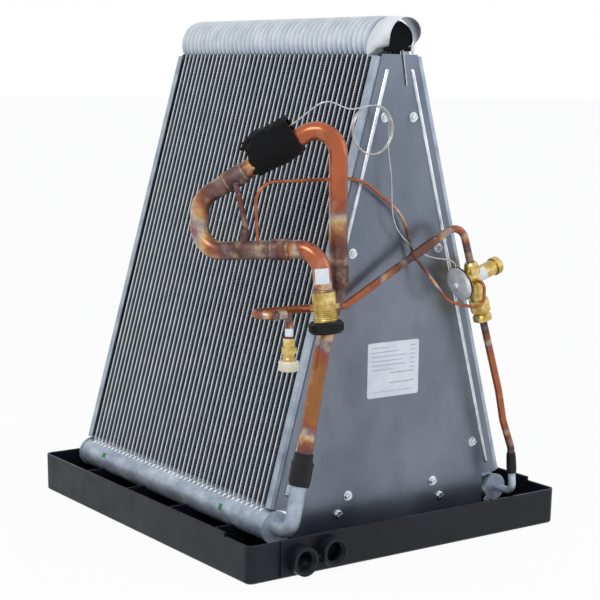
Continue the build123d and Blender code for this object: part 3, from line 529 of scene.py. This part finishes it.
# the folded coil, in millimetres and degrees
coil = {
    "tubes": 42, "pitch": 10.2, "width": 25.4, "thickness": 1.8, "firstY": -192.7,
    "headerX": 176.0, "headerZ": 48.0, "suctionRadius": 19.0, "liquidRadius": 16.0,
    "foldX": 21.5, "foldZ": 606.0, "archRadius": 26.5, "archZ": 626.0, "archTurn": 230.0,
    "shingle": 14.0, "turnOnEdge": 54.0, "archSteps": 40, "twistSteps": 8, "sunk": 1.0,
    "firstGapY": -197.8, "finDepth": 22.4, "finFold": 1.55, "finFoil": 0.16, "finFoot": 4, "finTop": 2,
}
lean = atan2(coil["headerX"] - coil["foldX"], coil["foldZ"] - coil["headerZ"])
legLength = hypot(coil["headerX"] - coil["foldX"], coil["foldZ"] - coil["headerZ"])
upLeg = Vector((-sin(lean), 0, cos(lean)))
outLeg = Vector((cos(lean), 0, sin(lean)))
headerSpot = Vector((coil["headerX"], 0, coil["headerZ"]))
archCentre = Vector((0, 0, coil["archZ"]))
archTurn = radians(coil["archTurn"])
startAngle = (pi - archTurn) / 2
archAngles = [startAngle + archTurn * i / coil["archSteps"] for i in range(coil["archSteps"] + 1)]


def fromCrown(angle):  # 0 at the crown of the fold, 1 at its feet
    return min(1, abs(angle - pi / 2) / (archTurn / 2))


def foldTilt(angle, flat, steep):  # a tube is nearly flat at the crown and turns on edge toward each leg
    return radians(flat + steep * fromCrown(angle) ** 3)


# where the tube lies round the fold: its middle, the way its width runs and the way it runs
def foldPlane(angle):
    out = Vector((cos(angle), 0, sin(angle)))
    tilt = foldTilt(angle, coil["shingle"], coil["turnOnEdge"])
    wide = Vector((0, cos(tilt), 0)) + out * sin(tilt)
    return archCentre + out * coil["archRadius"], wide, Vector((-out.z, 0, out.x))


def tubeSection(place):
    middle, wide, along = place
    wide = wide.normalized()
    thick = along.normalized().cross(wide)
    half, edge = coil["width"] / 2, coil["thickness"] / 2
    spots = []
    for side in (1, -1):
        for step in range(5):
            turn = -pi / 2 + pi * step / 4
            spots.append((side * (half - edge + edge * cos(turn)), side * edge * sin(turn)))
    return [middle + wide * u + thick * v for u, v in spots]


def legPlane(distance):
    return headerSpot + upLeg * distance, outLeg, upLeg


def otherLeg(place):
    middle, wide, along = [Vector((-v.x, v.y, v.z)) for v in place]
    return middle, wide, -along


legTop, foldFoot = legPlane(legLength), foldPlane(startAngle)
twist = []
for i in range(1, coil["twistSteps"]):
    share = i / coil["twistSteps"]
    eased = share * share * (3 - 2 * share) * pi / 2
    twist.append((legTop[0].lerp(foldFoot[0], share), legTop[1] * cos(eased) + foldFoot[1] * sin(eased),
                  legTop[2].lerp(foldFoot[2], share)))
rightSide = [legPlane(coil["liquidRadius"] - coil["sunk"]), legTop] + twist
leftSide = [otherLeg(p) for p in twist[::-1]]
leftSide += [otherLeg(legTop), otherLeg(legPlane(coil["suctionRadius"] - coil["sunk"]))]
fold = [foldPlane(angle) for angle in archAngles]
verts, faces = skinRings([tubeSection(p) for p in rightSide + fold + leftSide])
tubes = tidyNormals(pieceFrom("foldedTubes", verts, faces), 0.001)
tubes.data.transform(Matrix.Translation((0, coil["firstY"] * mm, 0)))
alongRow = {"Count": coil["tubes"], "Step": (0, coil["pitch"] * mm, 0)}
grow(tubes, copyTree, alongRow, finishes["brazedTubeAluminium"])
settle(baked(tubes, 50), "flat_tubes")

# the wide strip that closes the front of the fold: it turns with the tubes and its front edge flares forward
edgeStrip = {"width": 28.0, "thickness": 1.2, "radius": 28.6, "crownY": -212.0, "footBack": 10.0,
             "flat": 3.0, "steep": 54.0, "bevel": 0.5, "lip": 1.2, "edge": 0.4}


def stripSpot(angle, across, lift):
    out = Vector((cos(angle), 0, sin(angle)))
    back = Vector((0, 1, 0))
    tilt = foldTilt(angle, edgeStrip["flat"], edgeStrip["steep"])
    level = edgeStrip["crownY"] + edgeStrip["footBack"] * fromCrown(angle) ** 3
    return archCentre + back * level + out * edgeStrip["radius"] \
        + (back * cos(tilt) + out * sin(tilt)) * across + (out * cos(tilt) - back * sin(tilt)) * lift


wide, thick = edgeStrip["width"] / 2, edgeStrip["thickness"] / 2
thin = thick * edgeStrip["edge"]
section = [(-wide, -thin), (-wide, thin), (edgeStrip["lip"] - wide, thick), (0, thick),
           (wide - edgeStrip["bevel"], thick), (wide, thin), (wide, -thin),
           (wide - edgeStrip["bevel"], -thick), (0, -thick), (edgeStrip["lip"] - wide, -thick)]
verts, faces = skinRings([[stripSpot(angle, u, v) for u, v in section] for angle in archAngles])
closing = tidyNormals(pieceFrom("foldEdgeStrip", verts, faces, finishes["formedTrimAluminium"]), 0.001)
closing.data.set_sharp_from_angle(angle=radians(40))
settle(closing, "front_fold_strip")

# the grid's X is the coil's thickness, its Y runs up the leg and its Z crosses the gaps
finBottom = max(coil["suctionRadius"], coil["liquidRadius"]) + coil["finFoot"]
finRun = legLength - coil["finTop"] - finBottom
finSizes = {
    "Gap Width": (coil["pitch"] - coil["thickness"] - coil["finFoil"]) * mm,
    "Depth": coil["finDepth"] * mm, "Run": finRun * mm, "Folds": int(finRun / coil["finFold"])}
acrossGaps = {"Count": coil["tubes"] + 1, "Step": (0, 0, -coil["pitch"] * mm)}
# the fins take the finish darkened as painted shade between the tubes
for side, name, nodeName in ((1, "pleatedFinsRight", "fin_pack_right"),
                             (-1, "pleatedFinsLeft", "fin_pack_left")):
    fins = grow(pieceFrom(name, [(0, 0, 0)], []), finTree, finSizes, finishes["finStockPaintedShade"])
    grow(fins, copyTree, acrossGaps, finishes["finStockPaintedShade"])
    foil = fins.modifiers.new("foil", "SOLIDIFY")
    foil.thickness = coil["finFoil"] * mm
    foil.offset = 0
    baked(fins)
    middle = headerSpot + upLeg * (finBottom + finRun / 2)
    across, run = outLeg, upLeg
    if side < 0:
        middle, across, run = [Vector((-v.x, v.y, v.z)) for v in (middle, across, run)]
        across = -across
    back = across.cross(run)
    start = middle + Vector((0, coil["firstGapY"], 0))
    if back.y > 0:
        start.y += coil["tubes"] * coil["pitch"]
    stand = Matrix((across, run, back)).transposed().to_4x4()
    fins.data.transform(Matrix.Translation(start * mm) @ stand)
    fins.data.update()
    settle(fins, nodeName)
print("coil made")

# flux collars where each tube enters its header
collar = {"sides": 24, "wall": 0.9, "levels": [(-1.5, 0.6), (0.2, 2.3), (1.6, 0.5), (2.2, 0.0)]}
for side, radius, name in ((1, coil["liquidRadius"], "liquidFluxCollars"),
                           (-1, coil["suctionRadius"], "suctionFluxCollars")):
    rings = []
    for level, grown in collar["levels"]:
        ring = []
        for i in range(collar["sides"]):
            around = 2 * pi * i / collar["sides"]
            wide = (coil["width"] / 2 - collar["wall"] + grown) * cos(around)
            thick = (coil["thickness"] / 2 + grown) * sin(around)
            drop = radius - (radius ** 2 - min(wide, radius * 0.9) ** 2) ** 0.5
            place = headerSpot + outLeg * wide + Vector((0, thick, 0)) + upLeg * (radius + level - drop)
            ring.append(Vector((place.x * side, place.y, place.z)))
        rings.append(ring)
    verts, faces = skinRings(rings)
    collars = tidyNormals(pieceFrom(name, verts, faces))
    collars.data.transform(Matrix.Translation((0, coil["firstY"] * mm, 0)))
    grow(collars, copyTree, alongRow, finishes["whiteFlux"])
    settle(baked(collars, 60))

# foam under both ends of the fold: cut plugs with a torn edge, kept inside the tubes and the strip
foam = {"voxel": 1.1, "cell": 0.09, "wave": 0.6556, "fine": 0.19668, "clear": 0.6, "stripReach": -206.0,
        "stripClear": 1.2, "most": 26.4, "seed": 3}
noise.seed_set(foam["seed"])  # unseeded, noise_vector starts from the clock


def foamRoom(spot):  # how far from the fold's middle line foam may reach, at a spot seen from that line
    angle = atan2(spot.z, spot.x)
    if spot.z <= 0 and spot.x <= 0:
        angle += 2 * pi
    if spot.y >= foam["stripReach"]:
        tilt = foldTilt(angle, coil["shingle"], coil["turnOnEdge"])
        return coil["archRadius"] - coil["width"] / 2 * sin(tilt) - coil["thickness"] - foam["clear"]
    tilt = foldTilt(angle, edgeStrip["flat"], edgeStrip["steep"])
    inside = edgeStrip["radius"] + (spot.y - edgeStrip["crownY"]) * tan(tilt)
    return min(foam["most"], inside - edgeStrip["thickness"] / 2 / cos(tilt) - foam["stripClear"])


for nodeName, name in (("front_apex_foam", "frontFoamPlug"), ("rear_apex_foam", "rearFoamPlug")):
    low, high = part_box(nodeName)
    plug = bpy.data.objects.new(name, nodes[nodeName].data.copy())
    bpy.context.scene.collection.objects.link(plug)
    tidyNormals(plug, 0.02)
    blocks = plug.modifiers.new("blocks", "REMESH")
    blocks.mode = "VOXEL"
    blocks.voxel_size = foam["voxel"] * mm
    baked(plug)
    for vertex in plug.data.vertices:
        wave = noise.noise_vector(vertex.co / mm * foam["cell"])
        fine = noise.noise_vector(vertex.co / mm * foam["cell"] * 4)
        vertex.co += (wave * foam["wave"] + fine * foam["fine"]) * mm
        vertex.co.y = min(max(vertex.co.y, low.y), high.y)
        spot = vertex.co / mm - archCentre
        room, reach = foamRoom(spot), hypot(spot.x, spot.z)
        if reach > room:
            vertex.co.x *= room / reach
            vertex.co.z = (archCentre.z + spot.z * room / reach) * mm
    plug.data.materials.clear()
    plug.data.materials.append(finishes["closedCellFoam"])
    plug.data.shade_smooth()
    settle(plug, nodeName)
print("foam made")

# felt wrapped round the bulb pipe and its bulb, its far end torn and its near end frayed
wrap = {
    "from": 54, "length": 64, "half": 28.0, "round": 19.5, "thick": 2.4, "around": 84, "along": 44,
    "centreUp": 8.6, "size": 0.92, "fold": 0.13, "crease": 0.09, "ruck": 0.035,
    "tornFrom": 0.5, "torn": 9, "frayedTo": 0.15, "frayed": 4,
    "taperFrom": 0.72, "taper": 0.16, "mouthTo": 0.1, "mouth": 0.1,
    # how often each lump comes round the wrap and along it, and where in the noise it starts
    "folds": (1.3, 2.2, 0, 0), "creases": (2.4, 3, 7, 2), "rucks": (3.5, 7, 0, 0),
    "tears": (2.1, 0, 0, 9), "frays": (2, 0, 0, 3),
}
wrapAxis = unit(pipes["riserTop"], pipes["loopStart"])
wrapStart = toward(pipes["riserTop"], pipes["loopStart"], wrap["from"])
wrapUp = (Vector((0, 0, 1)) - wrapAxis * wrapAxis.z).normalized()
wrapSide = wrapAxis.cross(wrapUp)


def lump(kind, angle, share):
    often, along, startX, startZ = wrap[kind]
    return noise.noise(Vector((cos(angle) * often + startX, sin(angle) * often, share * along + startZ)))


def wrapSpot(share, angle):
    flat = (wrap["half"] - wrap["round"]) * (1 if cos(angle) > 0 else -1)
    up = wrap["round"] * cos(angle) + flat * min(1, abs(cos(angle)) * 4)
    out = wrap["round"] * sin(angle)
    crease = 1 - abs(lump("creases", angle, share))
    scale = wrap["size"] + wrap["fold"] * lump("folds", angle, share) - wrap["crease"] * crease ** 6 \
        + wrap["ruck"] * lump("rucks", angle, share)
    scale *= 1 - wrap["taper"] * max(0, share - wrap["taperFrom"]) / (1 - wrap["taperFrom"]) \
        - wrap["mouth"] * max(0, wrap["mouthTo"] - share) / wrap["mouthTo"]
    ragged = 0
    if share > wrap["tornFrom"]:
        ragged = (share - wrap["tornFrom"]) * 2 * (wrap["torn"] * lump("tears", angle, share) - 2)
    if share < wrap["frayedTo"]:
        away = 1 - share / wrap["frayedTo"]
        ragged = away * wrap["frayed"] * abs(lump("frays", angle, share))
    return wrapStart + wrapAxis * (share * wrap["length"] + ragged) \
        + wrapUp * (wrap["centreUp"] + up * scale) + wrapSide * (out * scale)


rings = [[wrapSpot(a / wrap["along"], 2 * pi * i / wrap["around"]) for i in range(wrap["around"])]
         for a in range(wrap["along"] + 1)]
verts, faces = skinRings(rings, closed=False)
felt = tidyNormals(pieceFrom("bulbFelt", verts, faces, finishes["feltWrap"]))
cloth = felt.modifiers.new("cloth", "SOLIDIFY")
cloth.thickness = wrap["thick"] * mm
cloth.offset = -1
tidyNormals(baked(felt), 0.001)
felt.data.shade_smooth()
settle(felt, "bulb_insulation")
print("wrap made")

liquidFitting = Vector((-188, -254.4, 0))
up, down = Vector((0, 0, 1)), Vector((0, 0, -1))
# threads: where they start, the way they run, then turns, radius, height and ridge in millimetres
threads = {
    "suctionFittingThread": (
        fittingTop + fittingAxis * 21, fittingAxis, (6.5, 13.5, 13, 0.8), "machinedBrass", "brass"),
    "liquidFittingThread": (liquidFitting + up * 266, down, (7, 6.9, 8, 0.42), "machinedBrass", "brass"),
}
portThread = {"inset": 1.2, "sizes": (6.5, 13.2, 12.5, 0.6)}
for name, port in (("drainPortThread", "drain_port"), ("overflowPortThread", "overflow_port")):
    mount = next(m for m in frame["record"]["mounts"] if m["name"] == port)
    mouth = Vector(mount["pos_m"]) / mm + Vector((0, portThread["inset"], 0))
    threads[name] = (mouth, (0, 1, 0), portThread["sizes"], "mouldedPolypropylene", "pan_plastic")
for name, (start, axis, (turns, radius, height, ridge), finishName, slotName) in threads.items():
    ridges = pieceFrom(name, [(0, 0, 0)], [])
    grow(ridges, threadTree, {"Turns": turns, "Radius": radius * mm, "Height": height * mm,
                              "Ridge": ridge * mm}, finishes[finishName])
    settle(stood(baked(ridges, 60), start, axis))

# grip ribs of the two shipping caps: where the cap starts, the way it runs, its radius and how many ribs
rib = {"height": 9.0, "width": 1.2, "rise": 0.7, "root": 0.3, "inset": 0.6}
capRibs = {
    "suctionCapRibs": (fittingTop + fittingAxis * 36.5, fittingAxis, 20, 44, "mouldedNylon", "black_cap"),
    "liquidCapRibs": (liquidFitting + up * 255.5, down, 11.2, 26, "creamPolyethylene", "cream_cap"),
}
for name, (start, axis, radius, count, finishName, slotName) in capRibs.items():
    half, root, crest = rib["width"] / 2, radius - rib["root"], radius + rib["rise"]
    verts, faces = skinRings([
        [(root, -half, z), (crest, -half / 2, z), (crest, half / 2, z), (root, half, z)]
        for z in (rib["inset"], rib["height"] - rib["inset"])])
    ribs = tidyNormals(pieceFrom(name, verts, faces))
    grow(ribs, copyTree, {"Count": count, "Turn": 2 * pi / count}, finishes[finishName])
    settle(stood(baked(ribs, 30), start, axis))

# braze fillets, uneven rings of filler metal: middle, axis, pipe radius, width, rise and noise seed
suction = pipes["suctionRadius"]
loopRun, elbowRun = unit(pipes["riserTop"], pipes["loopStart"]), unit(pipes["loopLow"], loopEnd)
fillet = {"sides": 36, "steps": 8, "uneven": 0.06, "lumps": 0.35}
fillets = {
    "loopJointBead": (toward(loopJoint, pipes["loopStart"], 11.6), loopRun, suction, 5, 1.5, 1),
    "loopJointUpperBead": (toward(loopJoint, pipes["riserTop"], 11.6), loopRun, suction, 5, 1.4, 2),
    "elbowJointBead": (toward(elbowJoint, loopEnd, 9.6), elbowRun, suction, 5, 1.6, 3),
    "elbowJointLeftBead": (toward(elbowJoint, pipes["loopLow"], 9.6), elbowRun, suction, 5, 1.5, 4),
    "fittingBead": (fittingTop - fittingAxis * 0.6, fittingAxis, suction, 5, 1.6, 5),
    "liquidJointBead": (toward(liquidJoint, inletCorner, 33.5), unit(pipes["backCorner"], inletCorner),
                        pipes["liquidRadius"], 3, 1.0, 7),
}
for name, (start, axis, radius, width, rise, seed) in fillets.items():
    rings = []
    for step in range(fillet["steps"] + 1):
        share = step / fillet["steps"]
        swell = sin(pi * share)
        along = (share - 0.5) * width
        centre, shift = start + axis * along, Vector((seed, 0, 0))
        ring = turned(start, axis, [(along, radius + rise * swell)], fillet["sides"])[0]
        rings.append([centre + (p - centre) * (
            1 + fillet["uneven"] * swell * noise.noise(p * fillet["lumps"] + shift)) for p in ring])
    verts, faces = skinRings(rings)
    settle(tidyNormals(pieceFrom(name, verts, faces, finishes["brazeMetal"])))
print("threads, ribs and fillets made")

# pressed beads of the delta plates, rounded over the CAD's plain ridges
bead = {"width": 5.4, "rise": 2.2, "topZ": 590, "footZ": 86, "inset": 6.5, "fromEdge": 13, "frontY": -213.4,
        "rearY": 246.2, "steps": 10, "end": [(0, 1), (1.2, 0.86), (2.2, 0.5), (2.6, 0.05)]}


def beadEnd(side, level, z):
    edge = coil["headerX"] - (z - coil["headerZ"]) * tan(lean) + bead["inset"] / cos(lean)
    return Vector((side * (edge - bead["fromEdge"]), level, z))


def beadRings(side, level, facing):
    foot, top = beadEnd(side, level, bead["footZ"]), beadEnd(side, level, bead["topZ"])
    run = (top - foot).normalized()
    wide = run.cross(Vector((0, 1, 0))) * bead["width"] / 2
    high = Vector((0, facing * bead["rise"], 0))
    places = [(foot - run * away, size) for away, size in bead["end"][::-1]]
    places += [(top + run * away, size) for away, size in bead["end"]]
    turns = [pi * i / bead["steps"] for i in range(bead["steps"] + 1)]
    return [[base + (wide * cos(turn) + high * sin(turn)) * size for turn in turns] for base, size in places]


# the beads' finish is painted lighter than the plate's, a painted highlight
for name, level, facing in (("frontPlateBeads", bead["frontY"], -1), ("rearPlateBeads", bead["rearY"], 1)):
    verts, faces = skinEach([beadRings(side, level, facing) for side in (-1, 1)])
    ridges = tidyNormals(pieceFrom(name, verts, faces, finishes["beadPaintedHighlight"]), 0.001)
    ridges.data.set_sharp_from_angle(angle=radians(60))
    settle(ridges)

# the power head's dark rolled rim
rim = {"seat": -22.9, "radius": 21.6, "width": 2.6, "rise": 0.7, "wall": 1.2, "steps": 8, "sides": 48}
shares = [i / rim["steps"] for i in range(rim["steps"] + 1)]
profile = [(rim["seat"] + rim["width"] * (share - 0.5), rim["radius"] + rim["rise"] * sin(pi * share))
           for share in shares]
profile += [(rim["seat"] + rim["width"] * away, rim["radius"] - rim["wall"]) for away in (0.5, -0.5)]
rings = turned(valveCentre, valveAcross, profile + profile[:1], rim["sides"])
verts, faces = skinRings(rings, closed=False)
settle(tidyNormals(pieceFrom("powerHeadRim", verts, faces, finishes["mouldedNylon"]), 0.001))
print("beads and rim made")


# a thin patch that follows a pipe: its middle, the way the pipe runs and the way the patch faces, then
# radius, length, sweep in degrees and thickness
def curvedPatch(name, start, axis, facing, sizes, finishName, slotName, cuts=12):
    radius, length, sweep, thick = sizes
    out = (Vector(facing) - axis * Vector(facing).dot(axis)).normalized()
    side = axis.cross(out)
    section = [(-length / 2, radius), (length / 2, radius), (length / 2, radius + thick),
               (-length / 2, radius + thick)]
    rings = []
    for i in range(cuts + 1):
        turn = radians(sweep) * (i / cuts - 0.5)
        away = out * cos(turn) + side * sin(turn)
        rings.append([start + axis * along + away * level for along, level in section])
    verts, faces = skinRings(rings)
    patch = tidyNormals(pieceFrom(name, verts, faces, finishes[finishName]), 0.001)
    patch.data.set_sharp_from_angle(angle=radians(40))
    settle(patch)


stickers = {
    "elbowSticker": (fittingTop - fittingAxis * 19, fittingAxis, (-0.75, -1, 0.1),
                     (suction + 0.1, 18, 92, 0.2)),
    "valveSticker": (valveCentre + valveAcross * 8, valveAcross, (-0.3, -1, 0.15), (9.95, 15, 96, 0.2)),
    "liquidSticker": (liquidFitting + up * 291, up, (-0.6, -1, 0),
                      (pipes["liquidRadius"] + 0.1, 9, 150, 0.2)),
}
for name, values in stickers.items():
    curvedPatch(name, *values, "gumPaper", "label")

# the label's printed rules, as shares of its width and height
rules = {"margin": 6, "thick": 0.55, "ink": 0.05, "right": 0.88,
         "rows": [(0.9, 0.36), (0.82, 0.62), (0.74, 0.8), (0.66, 0.7), (0.58, 0.76), (0.5, 0.5)],
         "boxes": [(0.42, 0.98, 0.25, 0.26), (0.42, 0.98, 0.43, 0.44), (0, 0.98, 0.1, 0.105)]}
labelLow, labelHigh = [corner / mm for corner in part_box("rating_label")]
labelWide = labelHigh.x - labelLow.x - 2 * rules["margin"]
labelTall = labelHigh.z - labelLow.z
thin = rules["thick"] / labelTall
bars = []
for level, width in rules["rows"]:
    bars += [(0, width, level, level + thin), (rules["right"], 1, level, level + thin)]
prisms = []
for left, end, low, high in bars + rules["boxes"]:
    corners = [(labelLow.x + rules["margin"] + labelWide * x, labelLow.z + labelTall * z)
               for x, z in ((left, low), (end, low), (end, high), (left, high))]
    prisms.append([[(x, labelLow.y + ink, z) for x, z in corners] for ink in (-rules["ink"], rules["ink"])])
verts, faces = skinEach(prisms)
printed = pieceFrom("labelRules", verts, faces, finishes["greyRule"], smooth=False)
settle(tidyNormals(printed, 0.0001))

# dabs of green marking paint on the suction header: how far back, the way each faces, and its sizes
paintDabs = {
    "greenMarkSuction": (-120, (-1, 0, 0.35), (19.05, 7, 24, 0.12)),
    "greenMarkSuctionRear": (180, (-1, 0, 0.55), (19.05, 9, 20, 0.12)),
}
for name, (y, facing, sizes) in paintDabs.items():
    middle = Vector((-coil["headerX"], y, coil["headerZ"]))
    curvedPatch(name, middle, Vector((0, 1, 0)), facing, sizes, "greenPaint", "header_aluminium")
print("labels made")

studio = {"floorTone": "#f6f6f6", "floorGlow": 0.94, "floorHalf": 30, "skyTone": "#eef3fb",
          "skyStrength": 0.62, "target": (0, 0, 0.3)}


# lights the scene with the first shader, and shows the second to the camera and in reflections
def whiteWhereSeen(tree, shader, seen):
    path = addNode(tree, "ShaderNodeLightPath").outputs
    either = path["Is Camera Ray"]
    for ray in ("Is Glossy Ray", "Is Transmission Ray"):
        either = addNode(tree, "ShaderNodeMath", {0: either, 1: path[ray]}, operation="MAXIMUM").outputs[0]
    return addNode(tree, "ShaderNodeMixShader", {0: either, 1: shader, 2: seen}).outputs[0]


paint = bpy.data.materials.new("palePaint")
paint.use_nodes = True
tree = paint.node_tree
tree.nodes.clear()
matte = addNode(tree, "ShaderNodeBsdfDiffuse", {"Color": tone(studio["floorTone"])}).outputs[0]
glow = addNode(tree, "ShaderNodeEmission", {"Color": (1, 1, 1, 1)}).outputs[0]
lit = addNode(tree, "ShaderNodeMixShader", {0: studio["floorGlow"], 1: matte, 2: glow}).outputs[0]
addNode(tree, "ShaderNodeOutputMaterial", {"Surface": whiteWhereSeen(tree, matte, lit)})
half = studio["floorHalf"] / mm
floor = pieceFrom("floor", [(-half, -half, 0), (half, -half, 0), (half, half, 0), (-half, half, 0)],
                  [(0, 1, 2, 3)], paint, smooth=False)

world = bpy.data.worlds.new("studio")
bpy.context.scene.world = world
world.use_nodes = True
tree = world.node_tree
tree.nodes.clear()
sky = addNode(tree, "ShaderNodeBackground", {
    "Color": tone(studio["skyTone"]), "Strength": studio["skyStrength"]}).outputs[0]
white = addNode(tree, "ShaderNodeBackground", {"Color": (1, 1, 1, 1)}).outputs[0]
addNode(tree, "ShaderNodeOutputWorld", {"Surface": whiteWhereSeen(tree, sky, white)})

windows = {  # place, width in metres, power and colour of each soft light
    "keyWindow": ((-2.1, -1.5, 2.4), 1.3, 34.0, "#fffaf2"),
    "fillWindow": ((2.2, -2.0, 1.3), 1.8, 9.0, "#eaf1ff"),
}
for name, (place, size, power, code) in windows.items():
    lamp = bpy.data.lights.new(name, "AREA")
    lamp.shape = "DISK"
    lamp.size = size
    lamp.energy = power
    lamp.color = tone(code)[:3]
    holder = bpy.data.objects.new(name, lamp)
    holder.location = place
    holder.rotation_euler = (Vector(studio["target"]) - Vector(place)).to_track_quat("-Z", "Y").to_euler()
    bpy.context.scene.collection.objects.link(holder)

view = {  # place in metres, turns in radians, lens and sensor in millimetres
    "place": (-1.2195, -1.7144, 0.5846), "yaw": 0.6218, "pitch": 0.1423, "roll": 0.0139,
    "lens": 94.76, "sensor": 36.0}
yaw, pitch, roll = view["yaw"], view["pitch"], view["roll"]
ahead = Vector((sin(yaw) * cos(pitch), cos(yaw) * cos(pitch), -sin(pitch)))
level = Vector((cos(yaw), -sin(yaw), 0))
upright = level.cross(ahead)
right = level * cos(roll) + upright * sin(roll)
top = upright * cos(roll) - level * sin(roll)
lensData = bpy.data.cameras.new("camera")
lensData.lens = view["lens"]
lensData.sensor_width = view["sensor"]
camera = bpy.data.objects.new("camera", lensData)
camera.matrix_world = Matrix.Translation(view["place"]) @ Matrix((right, top, -ahead)).transposed().to_4x4()
bpy.context.scene.collection.objects.link(camera)
bpy.context.scene.camera = camera
bpy.context.scene.view_settings.view_transform = "Standard"
print("stage made")

bpy.context.view_layer.update()
